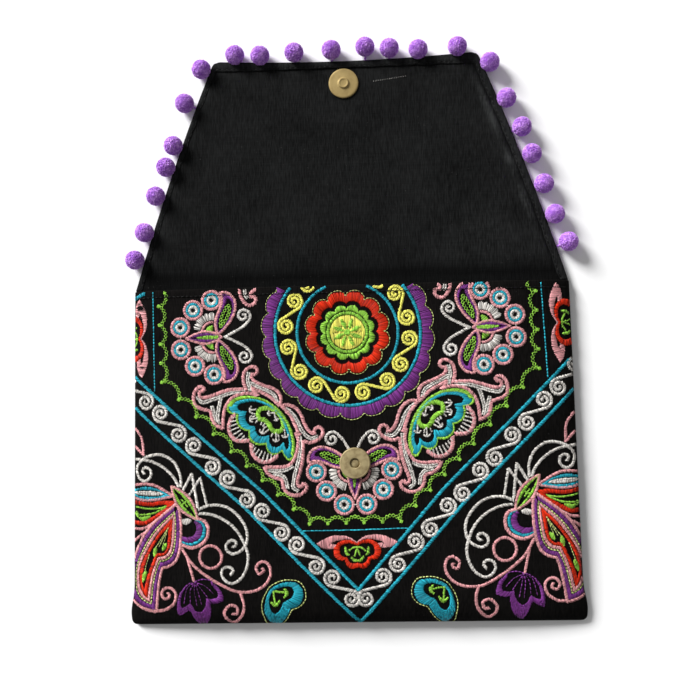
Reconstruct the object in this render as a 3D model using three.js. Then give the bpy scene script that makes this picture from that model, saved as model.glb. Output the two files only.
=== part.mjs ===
// Envelope clutch bag lying open on its back: an arched front panel, a back panel that runs on as the open
// flap, the flap's lining and turned hems, a two-part magnetic snap, and a fringe of pompoms.
// The model is worked out with y running up from the pouch's bottom fold and z up from the surface it lies on.
import * as THREE from "three";
import { ParametricGeometry } from "three/addons/geometries/ParametricGeometry.js";
import { mergeGeometries, mergeVertices } from "three/addons/utils/BufferGeometryUtils.js";

// Thickness of the layers, and the gap that neighbouring pieces keep
const CLOTH = 2;
const LINING = 1.2;
const GAP = 0.3;

// Pouch: half widths at the mouth and at the bottom fold, with corners that flare out and are rounded off
const POUCH_HEIGHT = 199;
const MOUTH_HALF = 130;
const BOTTOM_HALF = 133;
const CORNER_FLARE = 2;
const CORNER_FLARE_UP = 7;
const CORNER_FLARE_REACH = 9;
const CORNER_RADIUS = 5;

// Front panel: its crown above the seam, how roundly it rises from the sides and from the bottom fold
const CROWN = 11.7;
const SIDE_ROUNDNESS = 3;
const FOLD_ROUNDNESS = 2.5;
const FOLD_REACH = 45;
const MOUTH_SAG = 0.08;
const MOUTH_SAG_REACH = 80;
const FRONT_COLUMNS = 24;
const FRONT_ROWS = 20;

// Flap: a trapezium with bowed sides and a top edge that dips in the middle
const FLAP_HEIGHT = 139.5;
const FLAP_TOP_HALF = 80;
const FLAP_BOW = 2;
const FLAP_TOP_DIP = 2.6;
const FLAP_CORNER = 3.5;
const OUTLINE_STEPS = 14;

// Lining: where it ends inside the pouch, and the soft swell of its middle
const LINING_FOOT = 6;
const LINING_SWELL = 0.6;
const LINING_COLUMNS = 12;
const LINING_ROWS = 22;

// Hems: the width of each, their crown and edge thickness, and the puckers along them
const HEM_LEFT = 4.2;
const HEM_RIGHT = 5.6;
const HEM_TOP = 5.4;
const HEM_CROWN = 2.3;
const HEM_EDGE = 1.2;
const HEM_PUCKER = 0.12;
const HEM_PUCKER_LENGTH = 17;
const HEM_END_SHARPNESS = 16;
const HEM_COLUMNS = 4;
const HEM_ROWS = 26;

// Magnetic snap: an 18 mm disc on each side, a hollow stud on the flap and its socket on the front panel
const SNAP_RADIUS = 9;
const SNAP_SIDES = 28;
const STUD_UP = 321.7;
const STUD_ACROSS = -0.8;
const STUD_DISC = 1.3;
const STUD_OUTER = 3.2;
const STUD_INNER = 2;
const STUD_HEIGHT = 3.6;
const STUD_FLOOR = 2.2;
const SOCKET_UP = 94.5;
const SOCKET_ACROSS = 1.5;
const SOCKET_DISC = 2.9;
const SOCKET_BORE = 3.5;
const SOCKET_FLOOR = 0.6;
const SNAP_ROUND = 0.4;

// Pompoms: their size, the depth of the hollows between their locks, and how they sit against the flap
const POMPOM_RADIUS = 5.7;
const POMPOM_DETAIL = 2;
const POMPOM_HEIGHT = 5.3;
const LOCK_DEPTH = 0.16;
const SEAT_CONE = 0.86;
const SEAT_GAP = 0.35;

// Each pompom's place along its edge of the flap and how far its centre stands off that edge:
// along the sides it is counted up from the mouth, along the top from the middle.
const POMPOMS = [
  { edge: "left", along: 17.5, off: 5.2 },
  { edge: "left", along: 34.1, off: 4.5 },
  { edge: "left", along: 56.0, off: 4.6 },
  { edge: "left", along: 73.6, off: 4.5 },
  { edge: "left", along: 86.8, off: 4.6 },
  { edge: "left", along: 111.6, off: 6.8 },
  { edge: "left", along: 132.4, off: 4.8 },
  { edge: "top", along: -66.3, off: 3.6 },
  { edge: "top", along: -51.0, off: 3.6 },
  { edge: "top", along: -30.3, off: 5.2 },
  { edge: "top", along: -7.8, off: 6.7 },
  { edge: "top", along: 12.7, off: 7.7 },
  { edge: "top", along: 27.1, off: 5.9 },
  { edge: "top", along: 44.5, off: 3.6 },
  { edge: "top", along: 67.8, off: 3.6 },
  { edge: "right", along: 130.5, off: 4.0 },
  { edge: "right", along: 108.5, off: 4.4 },
  { edge: "right", along: 90.3, off: 5.8 },
  { edge: "right", along: 74.3, off: 5.2 },
  { edge: "right", along: 55.7, off: 5.3 },
  { edge: "right", along: 37.6, off: 5.2 },
  { edge: "right", along: 20.3, off: 7.1 },
];

const { lerp, clamp } = THREE.MathUtils;
const SEAM_Z = CLOTH + GAP;
const LINING_TOP = SEAM_Z + LINING;
const HEM_WIDTHS = { left: HEM_LEFT, right: HEM_RIGHT };

// Half the pouch's width at a height up from its bottom fold
function pouchHalf(y) {
  const taper = lerp(BOTTOM_HALF, MOUTH_HALF, y / POUCH_HEIGHT);
  const flare = CORNER_FLARE * Math.exp(-(((y - CORNER_FLARE_UP) / CORNER_FLARE_REACH) ** 2));
  const below = Math.max(0, CORNER_RADIUS - y);
  const rounding = CORNER_RADIUS - Math.sqrt(CORNER_RADIUS ** 2 - below ** 2);
  return taper + flare - rounding;
}

// Half the flap's width at a height above the mouth
function flapHalf(up) {
  const k = up / FLAP_HEIGHT;
  return lerp(MOUTH_HALF, FLAP_TOP_HALF, k) + FLAP_BOW * 4 * k * (1 - k);
}

// Half the width of the whole outline, pouch or flap
function outlineHalf(y) {
  return y > POUCH_HEIGHT ? flapHalf(y - POUCH_HEIGHT) : pouchHalf(y);
}

// The flap's top edge, which dips in the middle
function flapTop(x) {
  const k = clamp(x / FLAP_TOP_HALF, -1, 1);
  return POUCH_HEIGHT + FLAP_HEIGHT - FLAP_TOP_DIP * (1 - k * k);
}

// Rise of a rounded edge, from 0 at the edge to 1 inside
function rounded(fromMiddle, roundness) {
  return (1 - Math.min(1, Math.abs(fromMiddle)) ** roundness) ** (1 / roundness);
}

// Height of the arched front above its seam: across runs from -1 to 1, y up from the bottom fold
function archHeight(crown, across, y) {
  const fold = rounded(Math.max(0, 1 - y / FOLD_REACH), FOLD_ROUNDNESS);
  const nearMouth = clamp((y - POUCH_HEIGHT + MOUTH_SAG_REACH) / MOUTH_SAG_REACH, 0, 1);
  const sag = 1 - MOUTH_SAG * nearMouth ** 2;
  return crown * rounded(across, SIDE_ROUNDNESS) * fold * sag;
}

// A closed sheet between an upper and a lower surface, each a function of two values from 0 to 1
function sheet(upper, lower, columns, rows) {
  const between = (u, v, k, target) => {
    const low = lower(u, v);
    target.copy(upper(u, v)).lerp(low, k);
  };
  const faces = [
    new ParametricGeometry((u, v, target) => between(u, v, 0, target), columns, rows),
    new ParametricGeometry((u, v, target) => between(1 - u, v, 1, target), columns, rows),
    new ParametricGeometry((u, v, target) => between(0, v, 1 - u, target), 1, rows),
    new ParametricGeometry((u, v, target) => between(1, v, u, target), 1, rows),
    new ParametricGeometry((u, v, target) => between(u, 0, 1 - v, target), columns, 1),
    new ParametricGeometry((u, v, target) => between(u, 1, v, target), columns, 1),
  ];
  return weld(mergeGeometries(faces));
}

// The same surface with its shared points joined
function weld(geometry) {
  geometry.deleteAttribute("normal");
  geometry.deleteAttribute("uv");
  return mergeVertices(geometry, 1e-4);
}

// Values from -1 to 1 and from 0 to 1, closer together at the sides and at the bottom fold
const towardsSides = (u) => Math.sin(Math.PI * (u - 0.5));
const towardsFold = (v) => 1 - Math.cos((Math.PI / 2) * v);

function frontPanel() {
  const outer = (u, v) => {
    const y = POUCH_HEIGHT * towardsFold(v);
    const across = towardsSides(u);
    return new THREE.Vector3(pouchHalf(y) * across, y, SEAM_Z + archHeight(CROWN, across, y));
  };
  const inner = (u, v) => {
    const y = lerp(CLOTH, POUCH_HEIGHT, towardsFold(v));
    const across = towardsSides(u);
    const z = SEAM_Z + archHeight(CROWN - CLOTH, across, y - CLOTH);
    return new THREE.Vector3((pouchHalf(y) - CLOTH) * across, y, z);
  };
  return sheet(outer, inner, FRONT_COLUMNS, FRONT_ROWS);
}

function backAndFlap() {
  const side = (sign, from, to) =>
    Array.from({ length: OUTLINE_STEPS + 1 }, (_, i) => {
      const y = lerp(from, to, i / OUTLINE_STEPS);
      return new THREE.Vector2(sign * outlineHalf(y), y);
    });
  const cornerTop = POUCH_HEIGHT + FLAP_HEIGHT - FLAP_CORNER;
  const topHalf = FLAP_TOP_HALF - FLAP_CORNER;
  const top = Array.from({ length: OUTLINE_STEPS + 1 }, (_, i) => {
    const x = lerp(topHalf, -topHalf, i / OUTLINE_STEPS);
    return new THREE.Vector2(x, flapTop(x));
  });
  const corner = (sign) => new THREE.Vector2(sign * FLAP_TOP_HALF, flapTop(sign * FLAP_TOP_HALF));
  const outline = new THREE.Shape();
  outline.setFromPoints([
    ...side(1, 0, CORNER_RADIUS),
    ...side(1, CORNER_RADIUS, POUCH_HEIGHT).slice(1),
    ...side(1, POUCH_HEIGHT, cornerTop).slice(1),
  ]);
  outline.quadraticCurveTo(corner(1).x, corner(1).y, top[0].x, top[0].y);
  top.slice(1).forEach((point) => outline.lineTo(point.x, point.y));
  const [leftStart, ...leftFlap] = side(-1, cornerTop, POUCH_HEIGHT);
  outline.quadraticCurveTo(corner(-1).x, corner(-1).y, leftStart.x, leftStart.y);
  const leftPouch = side(-1, POUCH_HEIGHT, CORNER_RADIUS).slice(1);
  const leftCorner = side(-1, CORNER_RADIUS, 0).slice(1);
  [...leftFlap, ...leftPouch, ...leftCorner].forEach((point) => outline.lineTo(point.x, point.y));
  return new THREE.ExtrudeGeometry(outline, { depth: CLOTH, bevelEnabled: false, curveSegments: 6 });
}

function flapLining() {
  const swellEnd = STUD_UP - SNAP_RADIUS;
  const place = (u, v, z) => {
    const y = lerp(LINING_FOOT, POUCH_HEIGHT + FLAP_HEIGHT - HEM_TOP - GAP, v);
    const left = -(outlineHalf(y) - HEM_LEFT - GAP);
    const right = outlineHalf(y) - HEM_RIGHT - GAP;
    return new THREE.Vector3(lerp(left, right, u), y, z);
  };
  const swell = (u, v) => {
    const y = place(u, v, 0).y;
    const k = clamp((y - POUCH_HEIGHT) / (swellEnd - POUCH_HEIGHT), 0, 1);
    return LINING_SWELL * Math.sin(Math.PI * k) ** 2 * Math.sin(Math.PI * u);
  };
  const upper = (u, v) => place(u, v, LINING_TOP + swell(u, v));
  const lower = (u, v) => place(u, v, SEAM_Z);
  return sheet(upper, lower, LINING_COLUMNS, LINING_ROWS);
}

// Thickness of a hem across its width (u) at a distance along it, crowned and softly puckered
function hemThickness(u, distance) {
  const crown = lerp(HEM_EDGE, HEM_CROWN, Math.sin(Math.PI * u));
  return crown * (1 + HEM_PUCKER * Math.sin((2 * Math.PI * distance) / HEM_PUCKER_LENGTH));
}

// The corner where a side hem meets the top hem: its inner and outer end along the mitre
function mitre(side, u) {
  const rounding = FLAP_CORNER / 2;
  const outerTop = POUCH_HEIGHT + FLAP_HEIGHT - rounding;
  const innerTop = POUCH_HEIGHT + FLAP_HEIGHT - HEM_TOP;
  const y = lerp(innerTop, outerTop, u);
  const inset = lerp(HEM_WIDTHS[side], rounding / 2, u);
  return new THREE.Vector2(outlineHalf(y) - inset, y);
}

function sideHem(side) {
  const sign = side === "left" ? -1 : 1;
  const acrossOrder = (u) => (sign > 0 ? u : 1 - u);
  const place = (u, v, z) => {
    const k = acrossOrder(u);
    const y = lerp(POUCH_HEIGHT + GAP, mitre(side, k).y - 2 * GAP, v);
    const end = (FLAP_CORNER / 4) * k * v ** HEM_END_SHARPNESS;
    const x = outlineHalf(y) - HEM_WIDTHS[side] * (1 - k) - end;
    return new THREE.Vector3(sign * x, y, z);
  };
  const upper = (u, v) => place(u, v, SEAM_Z + hemThickness(acrossOrder(u), FLAP_HEIGHT * v));
  const lower = (u, v) => place(u, v, SEAM_Z);
  return sheet(upper, lower, HEM_COLUMNS, HEM_ROWS);
}

function topHem() {
  const place = (u, v, z) => {
    const left = -mitre("left", v).x + GAP;
    const right = mitre("right", v).x - GAP;
    const x = lerp(left, right, u);
    const nearEnd = Math.abs(2 * u - 1) ** HEM_END_SHARPNESS;
    const inner = POUCH_HEIGHT + FLAP_HEIGHT - HEM_TOP;
    const outer = flapTop(x) - (FLAP_CORNER / 2) * nearEnd;
    return new THREE.Vector3(x, lerp(inner, outer, v), z);
  };
  const upper = (u, v) => place(u, v, SEAM_Z + hemThickness(v, 2 * FLAP_TOP_HALF * u));
  const lower = (u, v) => place(u, v, SEAM_Z);
  return sheet(upper, lower, HEM_ROWS, HEM_COLUMNS);
}

// A disc turned about z from its profile of radius and height
function turned(profile) {
  const points = profile.map(([radius, height]) => new THREE.Vector2(radius, height));
  return weld(new THREE.LatheGeometry(points, SNAP_SIDES).rotateX(Math.PI / 2));
}

function snapStud() {
  return turned([
    [0, 0],
    [SNAP_RADIUS - SNAP_ROUND, 0],
    [SNAP_RADIUS, SNAP_ROUND],
    [SNAP_RADIUS, STUD_DISC - SNAP_ROUND],
    [SNAP_RADIUS - SNAP_ROUND, STUD_DISC],
    [STUD_OUTER, STUD_DISC],
    [STUD_OUTER, STUD_HEIGHT - SNAP_ROUND],
    [STUD_OUTER - SNAP_ROUND, STUD_HEIGHT],
    [STUD_INNER + SNAP_ROUND, STUD_HEIGHT],
    [STUD_INNER, STUD_HEIGHT - SNAP_ROUND],
    [STUD_INNER, STUD_FLOOR],
    [0, STUD_FLOOR],
  ]);
}

function snapSocket() {
  return turned([
    [0, 0],
    [SNAP_RADIUS - SNAP_ROUND, 0],
    [SNAP_RADIUS, SNAP_ROUND],
    [SNAP_RADIUS, SOCKET_DISC - SNAP_ROUND],
    [SNAP_RADIUS - SNAP_ROUND, SOCKET_DISC],
    [SOCKET_BORE + SNAP_ROUND, SOCKET_DISC],
    [SOCKET_BORE, SOCKET_DISC - SNAP_ROUND],
    [SOCKET_BORE, SOCKET_FLOOR],
    [0, SOCKET_FLOOR],
  ]);
}

// Centre of a pompom, the way from it to the flap, and the push that keeps a point of it off the flap
function pompomSeat({ edge, along, off }) {
  if (edge === "top") {
    return {
      centre: new THREE.Vector3(along, flapTop(along) + off, POMPOM_HEIGHT),
      inwards: new THREE.Vector3(0, -1, 0),
      limit: (point) => (point.y = flapTop(point.x) + SEAT_GAP),
      isInside: (point) => point.y < flapTop(point.x) + SEAT_GAP,
    };
  }
  const sign = edge === "left" ? -1 : 1;
  const slope = (MOUTH_HALF - FLAP_TOP_HALF) / FLAP_HEIGHT;
  const inwards = new THREE.Vector3(-sign, -slope, 0).normalize();
  const onEdge = new THREE.Vector3(sign * flapHalf(along), POUCH_HEIGHT + along, POMPOM_HEIGHT);
  const edgeAt = (y) => outlineHalf(y) + SEAT_GAP / Math.abs(inwards.x);
  return {
    centre: onEdge.addScaledVector(inwards, -off),
    inwards,
    limit: (point) => (point.x = sign * edgeAt(point.y)),
    isInside: (point) => sign * point.x < edgeAt(point.y),
  };
}

// A ball of short locks, drawn to its seat on the flap's edge and flattened where it lies
function pompom(row, seed) {
  const seat = pompomSeat(row);
  const ball = weld(new THREE.IcosahedronGeometry(POMPOM_RADIUS, POMPOM_DETAIL));
  const places = ball.getAttribute("position");
  const point = new THREE.Vector3();
  const direction = new THREE.Vector3();
  THREE.MathUtils.seededRandom(seed);
  for (let i = 0; i < places.count; i += 1) {
    point.fromBufferAttribute(places, i);
    direction.copy(point).normalize();
    point.multiplyScalar(1 - LOCK_DEPTH * THREE.MathUtils.seededRandom());
    point.add(seat.centre);
    const facesSeat = direction.dot(seat.inwards) > SEAT_CONE;
    if (facesSeat || seat.isInside(point)) seat.limit(point);
    point.z = Math.max(0, point.z);
    places.setXYZ(i, point.x, point.y, point.z);
  }
  return ball;
}

const clothFinish = { color: 0x17171a, roughness: 0.95, metalness: 0 };
const liningFinish = { color: 0x1d1d1f, roughness: 0.95, metalness: 0 };
const pompomFinish = { color: 0x9b5ac8, roughness: 0.9, metalness: 0 };
const studFinish = { color: 0xaf965f, roughness: 0.4, metalness: 0.9 };
const socketFinish = { color: 0xa5966e, roughness: 0.45, metalness: 0.9 };

const bag = new THREE.Group();

function addPiece(name, geometry, finish, x = 0, y = 0, z = 0) {
  const piece = new THREE.Mesh(geometry, new THREE.MeshStandardMaterial(finish));
  piece.name = name;
  piece.position.set(x, y, z);
  bag.add(piece);
}

const socketSeat = SEAM_Z + archHeight(CROWN, 0, SOCKET_UP) + GAP;
addPiece("front_panel", frontPanel(), clothFinish);
addPiece("back_and_flap", backAndFlap(), clothFinish);
addPiece("flap_lining", flapLining(), liningFinish);
addPiece("hem_left", sideHem("left"), clothFinish);
addPiece("hem_top", topHem(), clothFinish);
addPiece("hem_right", sideHem("right"), clothFinish);
addPiece("snap_stud", snapStud(), studFinish, STUD_ACROSS, STUD_UP, LINING_TOP + GAP);
addPiece("snap_socket", snapSocket(), socketFinish, SOCKET_ACROSS, SOCKET_UP, socketSeat);
POMPOMS.forEach((row, index) => {
  const name = `pompom_${String(index + 1).padStart(2, "0")}`;
  addPiece(name, pompom(row, index + 1), pompomFinish);
});

// The frame's origin is the middle of the bounding box's bottom face.
const clutch = new THREE.Group();
clutch.add(bag);
const box = new THREE.Box3().setFromObject(bag, true);
bag.position.set(-(box.min.x + box.max.x) / 2, -(box.min.y + box.max.y) / 2, -box.min.z);

export default clutch;
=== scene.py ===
import math

import bpy
import numpy as np
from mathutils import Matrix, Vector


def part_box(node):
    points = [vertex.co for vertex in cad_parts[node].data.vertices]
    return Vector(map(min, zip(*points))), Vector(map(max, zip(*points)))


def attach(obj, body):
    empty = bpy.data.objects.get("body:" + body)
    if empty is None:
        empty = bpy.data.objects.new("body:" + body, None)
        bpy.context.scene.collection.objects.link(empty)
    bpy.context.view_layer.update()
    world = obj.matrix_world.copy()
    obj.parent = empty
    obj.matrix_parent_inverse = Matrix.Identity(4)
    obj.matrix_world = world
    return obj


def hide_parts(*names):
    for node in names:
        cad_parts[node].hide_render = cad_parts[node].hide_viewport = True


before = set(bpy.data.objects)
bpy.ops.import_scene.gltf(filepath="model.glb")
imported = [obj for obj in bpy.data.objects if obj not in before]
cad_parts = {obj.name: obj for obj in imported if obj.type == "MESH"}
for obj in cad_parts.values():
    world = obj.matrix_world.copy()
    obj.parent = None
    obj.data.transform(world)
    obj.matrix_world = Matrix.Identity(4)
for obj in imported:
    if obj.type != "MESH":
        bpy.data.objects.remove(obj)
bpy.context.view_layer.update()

bl_info = {
    "name": "Embroidered Clutch Bag",
    "version": (1, 0, 0),
    "blender": (4, 5, 0),
    "location": "View3D > Sidebar > Clutch",
    "description": "Builds the cloth, embroidery, pompoms and snap of an open clutch bag",
    "category": "Object",
}

# The bag is drawn in millimetres: x to its right, up from the pouch's bottom fold, z off the table
MM = 0.001
FRONT_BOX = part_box("front_panel")
FOOT = FRONT_BOX[0].y / MM
MIDDLE = (FRONT_BOX[0].x + FRONT_BOX[1].x) / 2 / MM

# Pouch and flap, as in the CAD part but for sharper bottom corners and a wider, flatter top hem
CLOTH = 2.0
SEAM_Z = 2.3
LINING_TOP = 3.5
POUCH_HEIGHT = 199.0
MOUTH_HALF = 130.0
BOTTOM_HALF = 133.0
CORNER_FLARE = 2.0
CORNER_FLARE_UP = 7.0
CORNER_FLARE_REACH = 9.0
CORNER_RADIUS = 2.5
CROWN = 11.7
SIDE_ROUNDNESS = 3.0
FOLD_ROUNDNESS = 2.5
FOLD_REACH = 45.0
MOUTH_SAG = 0.08
MOUTH_SAG_REACH = 80.0
FLAP_HEIGHT = 139.5
FLAP_TOP = POUCH_HEIGHT + FLAP_HEIGHT
FLAP_TOP_HALF = 80.0
FLAP_BOW = 2.0
FLAP_TOP_DIP = 2.6
FLAP_CORNER = 3.5
HEM_LEFT = 4.2
HEM_TOP = 7.0
HEM_TOP_SLANT = -0.3
HEM_RIGHT = 5.6
LINING_FOOT = 6.0

# Snap halves: place on the bag and height of the base
STUD_AT = (-0.8, 321.7)
STUD_BASE = 3.8
SOCKET_AT = (1.5, 94.5)
SOCKET_BASE = 14.3
LATHE_SIDES = 64

# Pompoms: how far their centres lie inside their outer side and above the table, and their necks
POMPOM_COUNT = 22
POMPOM_REACH = 5.5
POMPOM_HEIGHT = 5.6
BALL_SIDES = 16
BALL_RINGS = 9
NECK_POINTS = 7
NECK_RADIUS = 0.4
NECK_ROOT = 1.2
NECK_BEND = 1.5

# Shares and distances over which the front's waves fade out towards its sides, its fold and its mouth
SIDE_FADE = 1 / 7
FOLD_FADE = 16.0
MOUTH_FADE = 14.0

# How a cloth's edge is rounded from its top face to its bottom face, in degrees
EDGE_TURNS = (35, 65, 90, 115, 145)

# Camera, found from the photo's outline of the bag
LENS = 46.29
CAMERA_AT = (25.98, 139.47, 539.83)
CAMERA_TURN = (0.0385, 0.0503, -0.0224)


def srgb(red, green, blue):
    """A screen colour of 0 to 255 as the linear colour that shaders take."""
    tones = []
    for value in (red, green, blue):
        tone = value / 255
        tones.append(tone / 12.92 if tone <= 0.04045 else ((tone + 0.055) / 1.055) ** 2.4)
    return (*tones, 1.0)


def clamp01(value):
    return np.clip(value, 0.0, 1.0)


def full_turn(count):
    """Angles all round a circle."""
    return np.linspace(0, 2 * math.pi, count, endpoint=False)


def ways(angle):
    """The direction at each angle in radians."""
    return np.stack([np.cos(angle), np.sin(angle)], axis=-1)


def unit(directions):
    return directions / np.maximum(np.linalg.norm(directions, axis=-1, keepdims=True), 1e-9)


def in_frame(x, up, z):
    """Points of the drawing in the row frame, in metres."""
    x, up, z = np.broadcast_arrays(x, up, z)
    return np.stack([x + MIDDLE, up + FOOT, z], axis=-1) * MM


def pouch_half(up):
    """Half the pouch's width at a height above its bottom fold."""
    width = BOTTOM_HALF + (MOUTH_HALF - BOTTOM_HALF) * up / POUCH_HEIGHT
    flare = CORNER_FLARE * np.exp(-(((up - CORNER_FLARE_UP) / CORNER_FLARE_REACH) ** 2))
    drop = np.clip(CORNER_RADIUS - up, 0.0, CORNER_RADIUS)
    return width + flare - (CORNER_RADIUS - np.sqrt(CORNER_RADIUS**2 - drop**2))


def flap_half(up):
    """Half the flap's width, with its side edges bowed and its top corners round."""
    part = clamp01((up - POUCH_HEIGHT) / FLAP_HEIGHT)
    width = MOUTH_HALF + (FLAP_TOP_HALF - MOUTH_HALF) * part + FLAP_BOW * 4 * part * (1 - part)
    rise = np.clip(up - (FLAP_TOP - FLAP_CORNER), 0.0, FLAP_CORNER)
    return width - (FLAP_CORNER - np.sqrt(FLAP_CORNER**2 - rise**2))


def outline_half(up):
    return np.where(up < POUCH_HEIGHT, pouch_half(up), flap_half(up))


def top_dip(x, up):
    """How far the flap's hollow top edge pulls a point down, faded out towards the mouth."""
    hollow = FLAP_TOP_DIP * (1 - clamp01(np.abs(x) / FLAP_TOP_HALF) ** 2)
    return hollow * clamp01((up - POUCH_HEIGHT) / FLAP_HEIGHT) ** 2


def rounded(share, power):
    return (1 - np.minimum(1.0, np.abs(share)) ** power) ** (1 / power)


def arch(crown, across, up):
    """Height of the padded front above its seam."""
    fold = rounded(np.maximum(0.0, 1 - up / FOLD_REACH), FOLD_ROUNDNESS)
    near_mouth = clamp01((up - POUCH_HEIGHT + MOUTH_SAG_REACH) / MOUTH_SAG_REACH)
    return crown * rounded(across, SIDE_ROUNDNESS) * fold * (1 - MOUTH_SAG * near_mouth**2)


def front_height(x, up, pucker):
    """Height of the front's outer face, with the low waves that the needlework pulls into it."""
    across = x / pouch_half(up)
    fade = clamp01((1 - np.abs(across)) / SIDE_FADE) * clamp01(up / FOLD_FADE)
    fade = fade * clamp01((POUCH_HEIGHT - up) / MOUTH_FADE)
    broad = np.sin(x * 0.11 + 1.3 * np.sin(up * 0.043)) * np.sin(up * 0.093 + 0.8)
    small = np.sin(x * 0.31 + 0.9) * np.sin(up * 0.27 + x * 0.05)
    return SEAM_Z + arch(CROWN, across, up) + fade * pucker * (broad + 0.45 * small)


def in_scene(name, data):
    """An object for a mesh, a lamp or a camera, linked into the scene."""
    made = bpy.data.objects.new(name, data)
    bpy.context.scene.collection.objects.link(made)
    return made


def bare_mesh(name, points, faces):
    """An object with a plain mesh at the origin."""
    mesh = bpy.data.meshes.new(name)
    mesh.from_pydata(np.asarray(points).tolist(), [], faces)
    return in_scene(name, mesh)


def new_piece(name, shape, material, slot=None):
    """A smooth piece from points and faces. With a slot it rides on the bag's one body."""
    piece = bare_mesh(name, *shape)
    mesh = piece.data
    mesh.polygons.foreach_set("use_smooth", [True] * len(mesh.polygons))
    mesh.materials.append(material)
    mesh.update()
    if slot:
        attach(piece, "root")
    return piece


def grid_faces(rows, columns, first=0):
    """Quads of a grid of points whose rows run up and whose columns run to the right."""
    index = first + np.arange(rows * columns).reshape(rows, columns)
    quads = np.stack([index[:-1, :-1], index[:-1, 1:], index[1:, 1:], index[1:, :-1]], axis=-1)
    return quads.reshape(-1, 4).tolist()


def border(rows, columns):
    """Indices round a grid, anticlockwise from its first point."""
    index = np.arange(rows * columns).reshape(rows, columns)
    return np.concatenate([index[0, :-1], index[:-1, -1], index[-1, :0:-1], index[:0:-1, 0]])


def closed_sheet(top, bottom, edge):
    """Points and faces of a cloth with a top and a bottom face and a round edge between them."""
    rows, columns = top.shape[:2]
    around = border(rows, columns)
    upper = top.reshape(-1, 3)
    lower = bottom.reshape(-1, 3)
    rim = (upper[around] + lower[around]) / 2
    onward = np.roll(rim, -1, axis=0) - np.roll(rim, 1, axis=0)
    outward = unit(np.stack([onward[:, 1], -onward[:, 0], np.zeros(len(onward))], axis=-1))
    half = (upper[around] - lower[around]) / 2
    rings = []
    for turn in np.radians(EDGE_TURNS):
        rings.append(rim + half * math.cos(turn) + outward * edge * math.sin(turn))
    points = np.concatenate([upper, lower, *rings])
    faces = grid_faces(rows, columns)
    faces += [quad[::-1] for quad in grid_faces(rows, columns, rows * columns)]
    first_ring = 2 * rows * columns
    loops = [around]
    loops += [first_ring + ring * len(around) + np.arange(len(around)) for ring in range(len(rings))]
    loops.append(around + rows * columns)
    for high, low in zip(loops[:-1], loops[1:]):
        quads = np.stack([high, low, np.roll(low, -1), np.roll(high, -1)], axis=-1)
        faces += quads.tolist()
    return points, faces


def lathe_faces(rings, sides):
    """Faces from a first point, over some rings of points, to a last point."""
    faces = []
    last = 1 + sides * rings
    for side in range(sides):
        after = (side + 1) % sides
        faces.append([0, 1 + after, 1 + side])
        for ring in range(rings - 1):
            low = 1 + ring * sides
            high = low + sides
            faces.append([low + side, low + after, high + after, high + side])
        top = last - sides
        faces.append([top + side, top + after, last])
    return faces


def turned(profile, at, base):
    """A solid turned from (radius, height) points that start and end on its axis."""
    angle = full_turn(LATHE_SIDES)
    x, up = at
    rings = [(x + radius * np.cos(angle), up + radius * np.sin(angle), base + height)
             for radius, height in profile[1:-1]]
    points = [in_frame(np.array([x]), up, base + profile[0][1])]
    points += [in_frame(*ring) for ring in rings]
    points.append(in_frame(np.array([x]), up, base + profile[-1][1]))
    return np.concatenate(points), lathe_faces(len(rings), LATHE_SIDES)


# Node building
def feed(tree, made, inputs):
    """Sets or links a node's inputs by name or number."""
    for key, value in inputs.items():
        if isinstance(value, bpy.types.NodeSocket):
            tree.links.new(value, made.inputs[key])
        else:
            made.inputs[key].default_value = value


def node(tree, kind, inputs=None, **settings):
    """Adds a node with its options and inputs."""
    made = tree.nodes.new(kind)
    for key, value in settings.items():
        setattr(made, key, value)
    feed(tree, made, inputs or {})
    return made


def plus(tree, first, second, clamp=False):
    made = node(tree, "ShaderNodeMath", {0: first, 1: second}, operation="ADD", use_clamp=clamp)
    return made.outputs[0]


def times(tree, first, second):
    made = node(tree, "ShaderNodeMath", {0: first, 1: second}, operation="MULTIPLY")
    return made.outputs[0]


def blend_colour(tree, share, first, second):
    made = node(tree, "ShaderNodeMix", {0: share, 6: first, 7: second}, data_type="RGBA")
    return made.outputs[2]


def ramp(tree, value, low, high):
    made = node(tree, "ShaderNodeMapRange", {"Value": value, "From Min": low, "From Max": high})
    return made.outputs[0]


def noise(tree, vector, scale, detail=2.0):
    made = node(tree, "ShaderNodeTexNoise", {"Vector": vector, "Scale": scale, "Detail": detail})
    return made.outputs["Fac"]


def place_on(tree, **mapping):
    """Object coordinates, stretched or turned by a Mapping node where its inputs are given."""
    place = node(tree, "ShaderNodeTexCoord").outputs["Object"]
    if mapping:
        place = node(tree, "ShaderNodeMapping", {"Vector": place, **mapping}).outputs[0]
    return place


def stored(tree, name):
    return node(tree, "ShaderNodeAttribute", attribute_name=name).outputs["Fac"]


def new_group(name, tree_kind, inputs, outputs):
    """An empty node group, the sockets of its inputs, and its output node."""
    tree = bpy.data.node_groups.new(name, f"{tree_kind}NodeTree")
    for label, kind, *default in inputs:
        socket = tree.interface.new_socket(label, in_out="INPUT", socket_type=f"NodeSocket{kind}")
        if default:
            socket.default_value = default[0]
    for label, kind in outputs:
        tree.interface.new_socket(label, in_out="OUTPUT", socket_type=f"NodeSocket{kind}")
    return tree, tree.nodes.new("NodeGroupInput").outputs, tree.nodes.new("NodeGroupOutput")


# How much the cotton's colour owes to its faded patches, its weave and its slubs, how much of the weave is
# warp, and how high the slubs stand in it
PATCH_SHARE = 0.44
WEAVE_SHARE = 0.42
SLUB_SHARE = 0.13
WARP_SHARE = 0.78
SLUB_HEIGHT = 0.5


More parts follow.
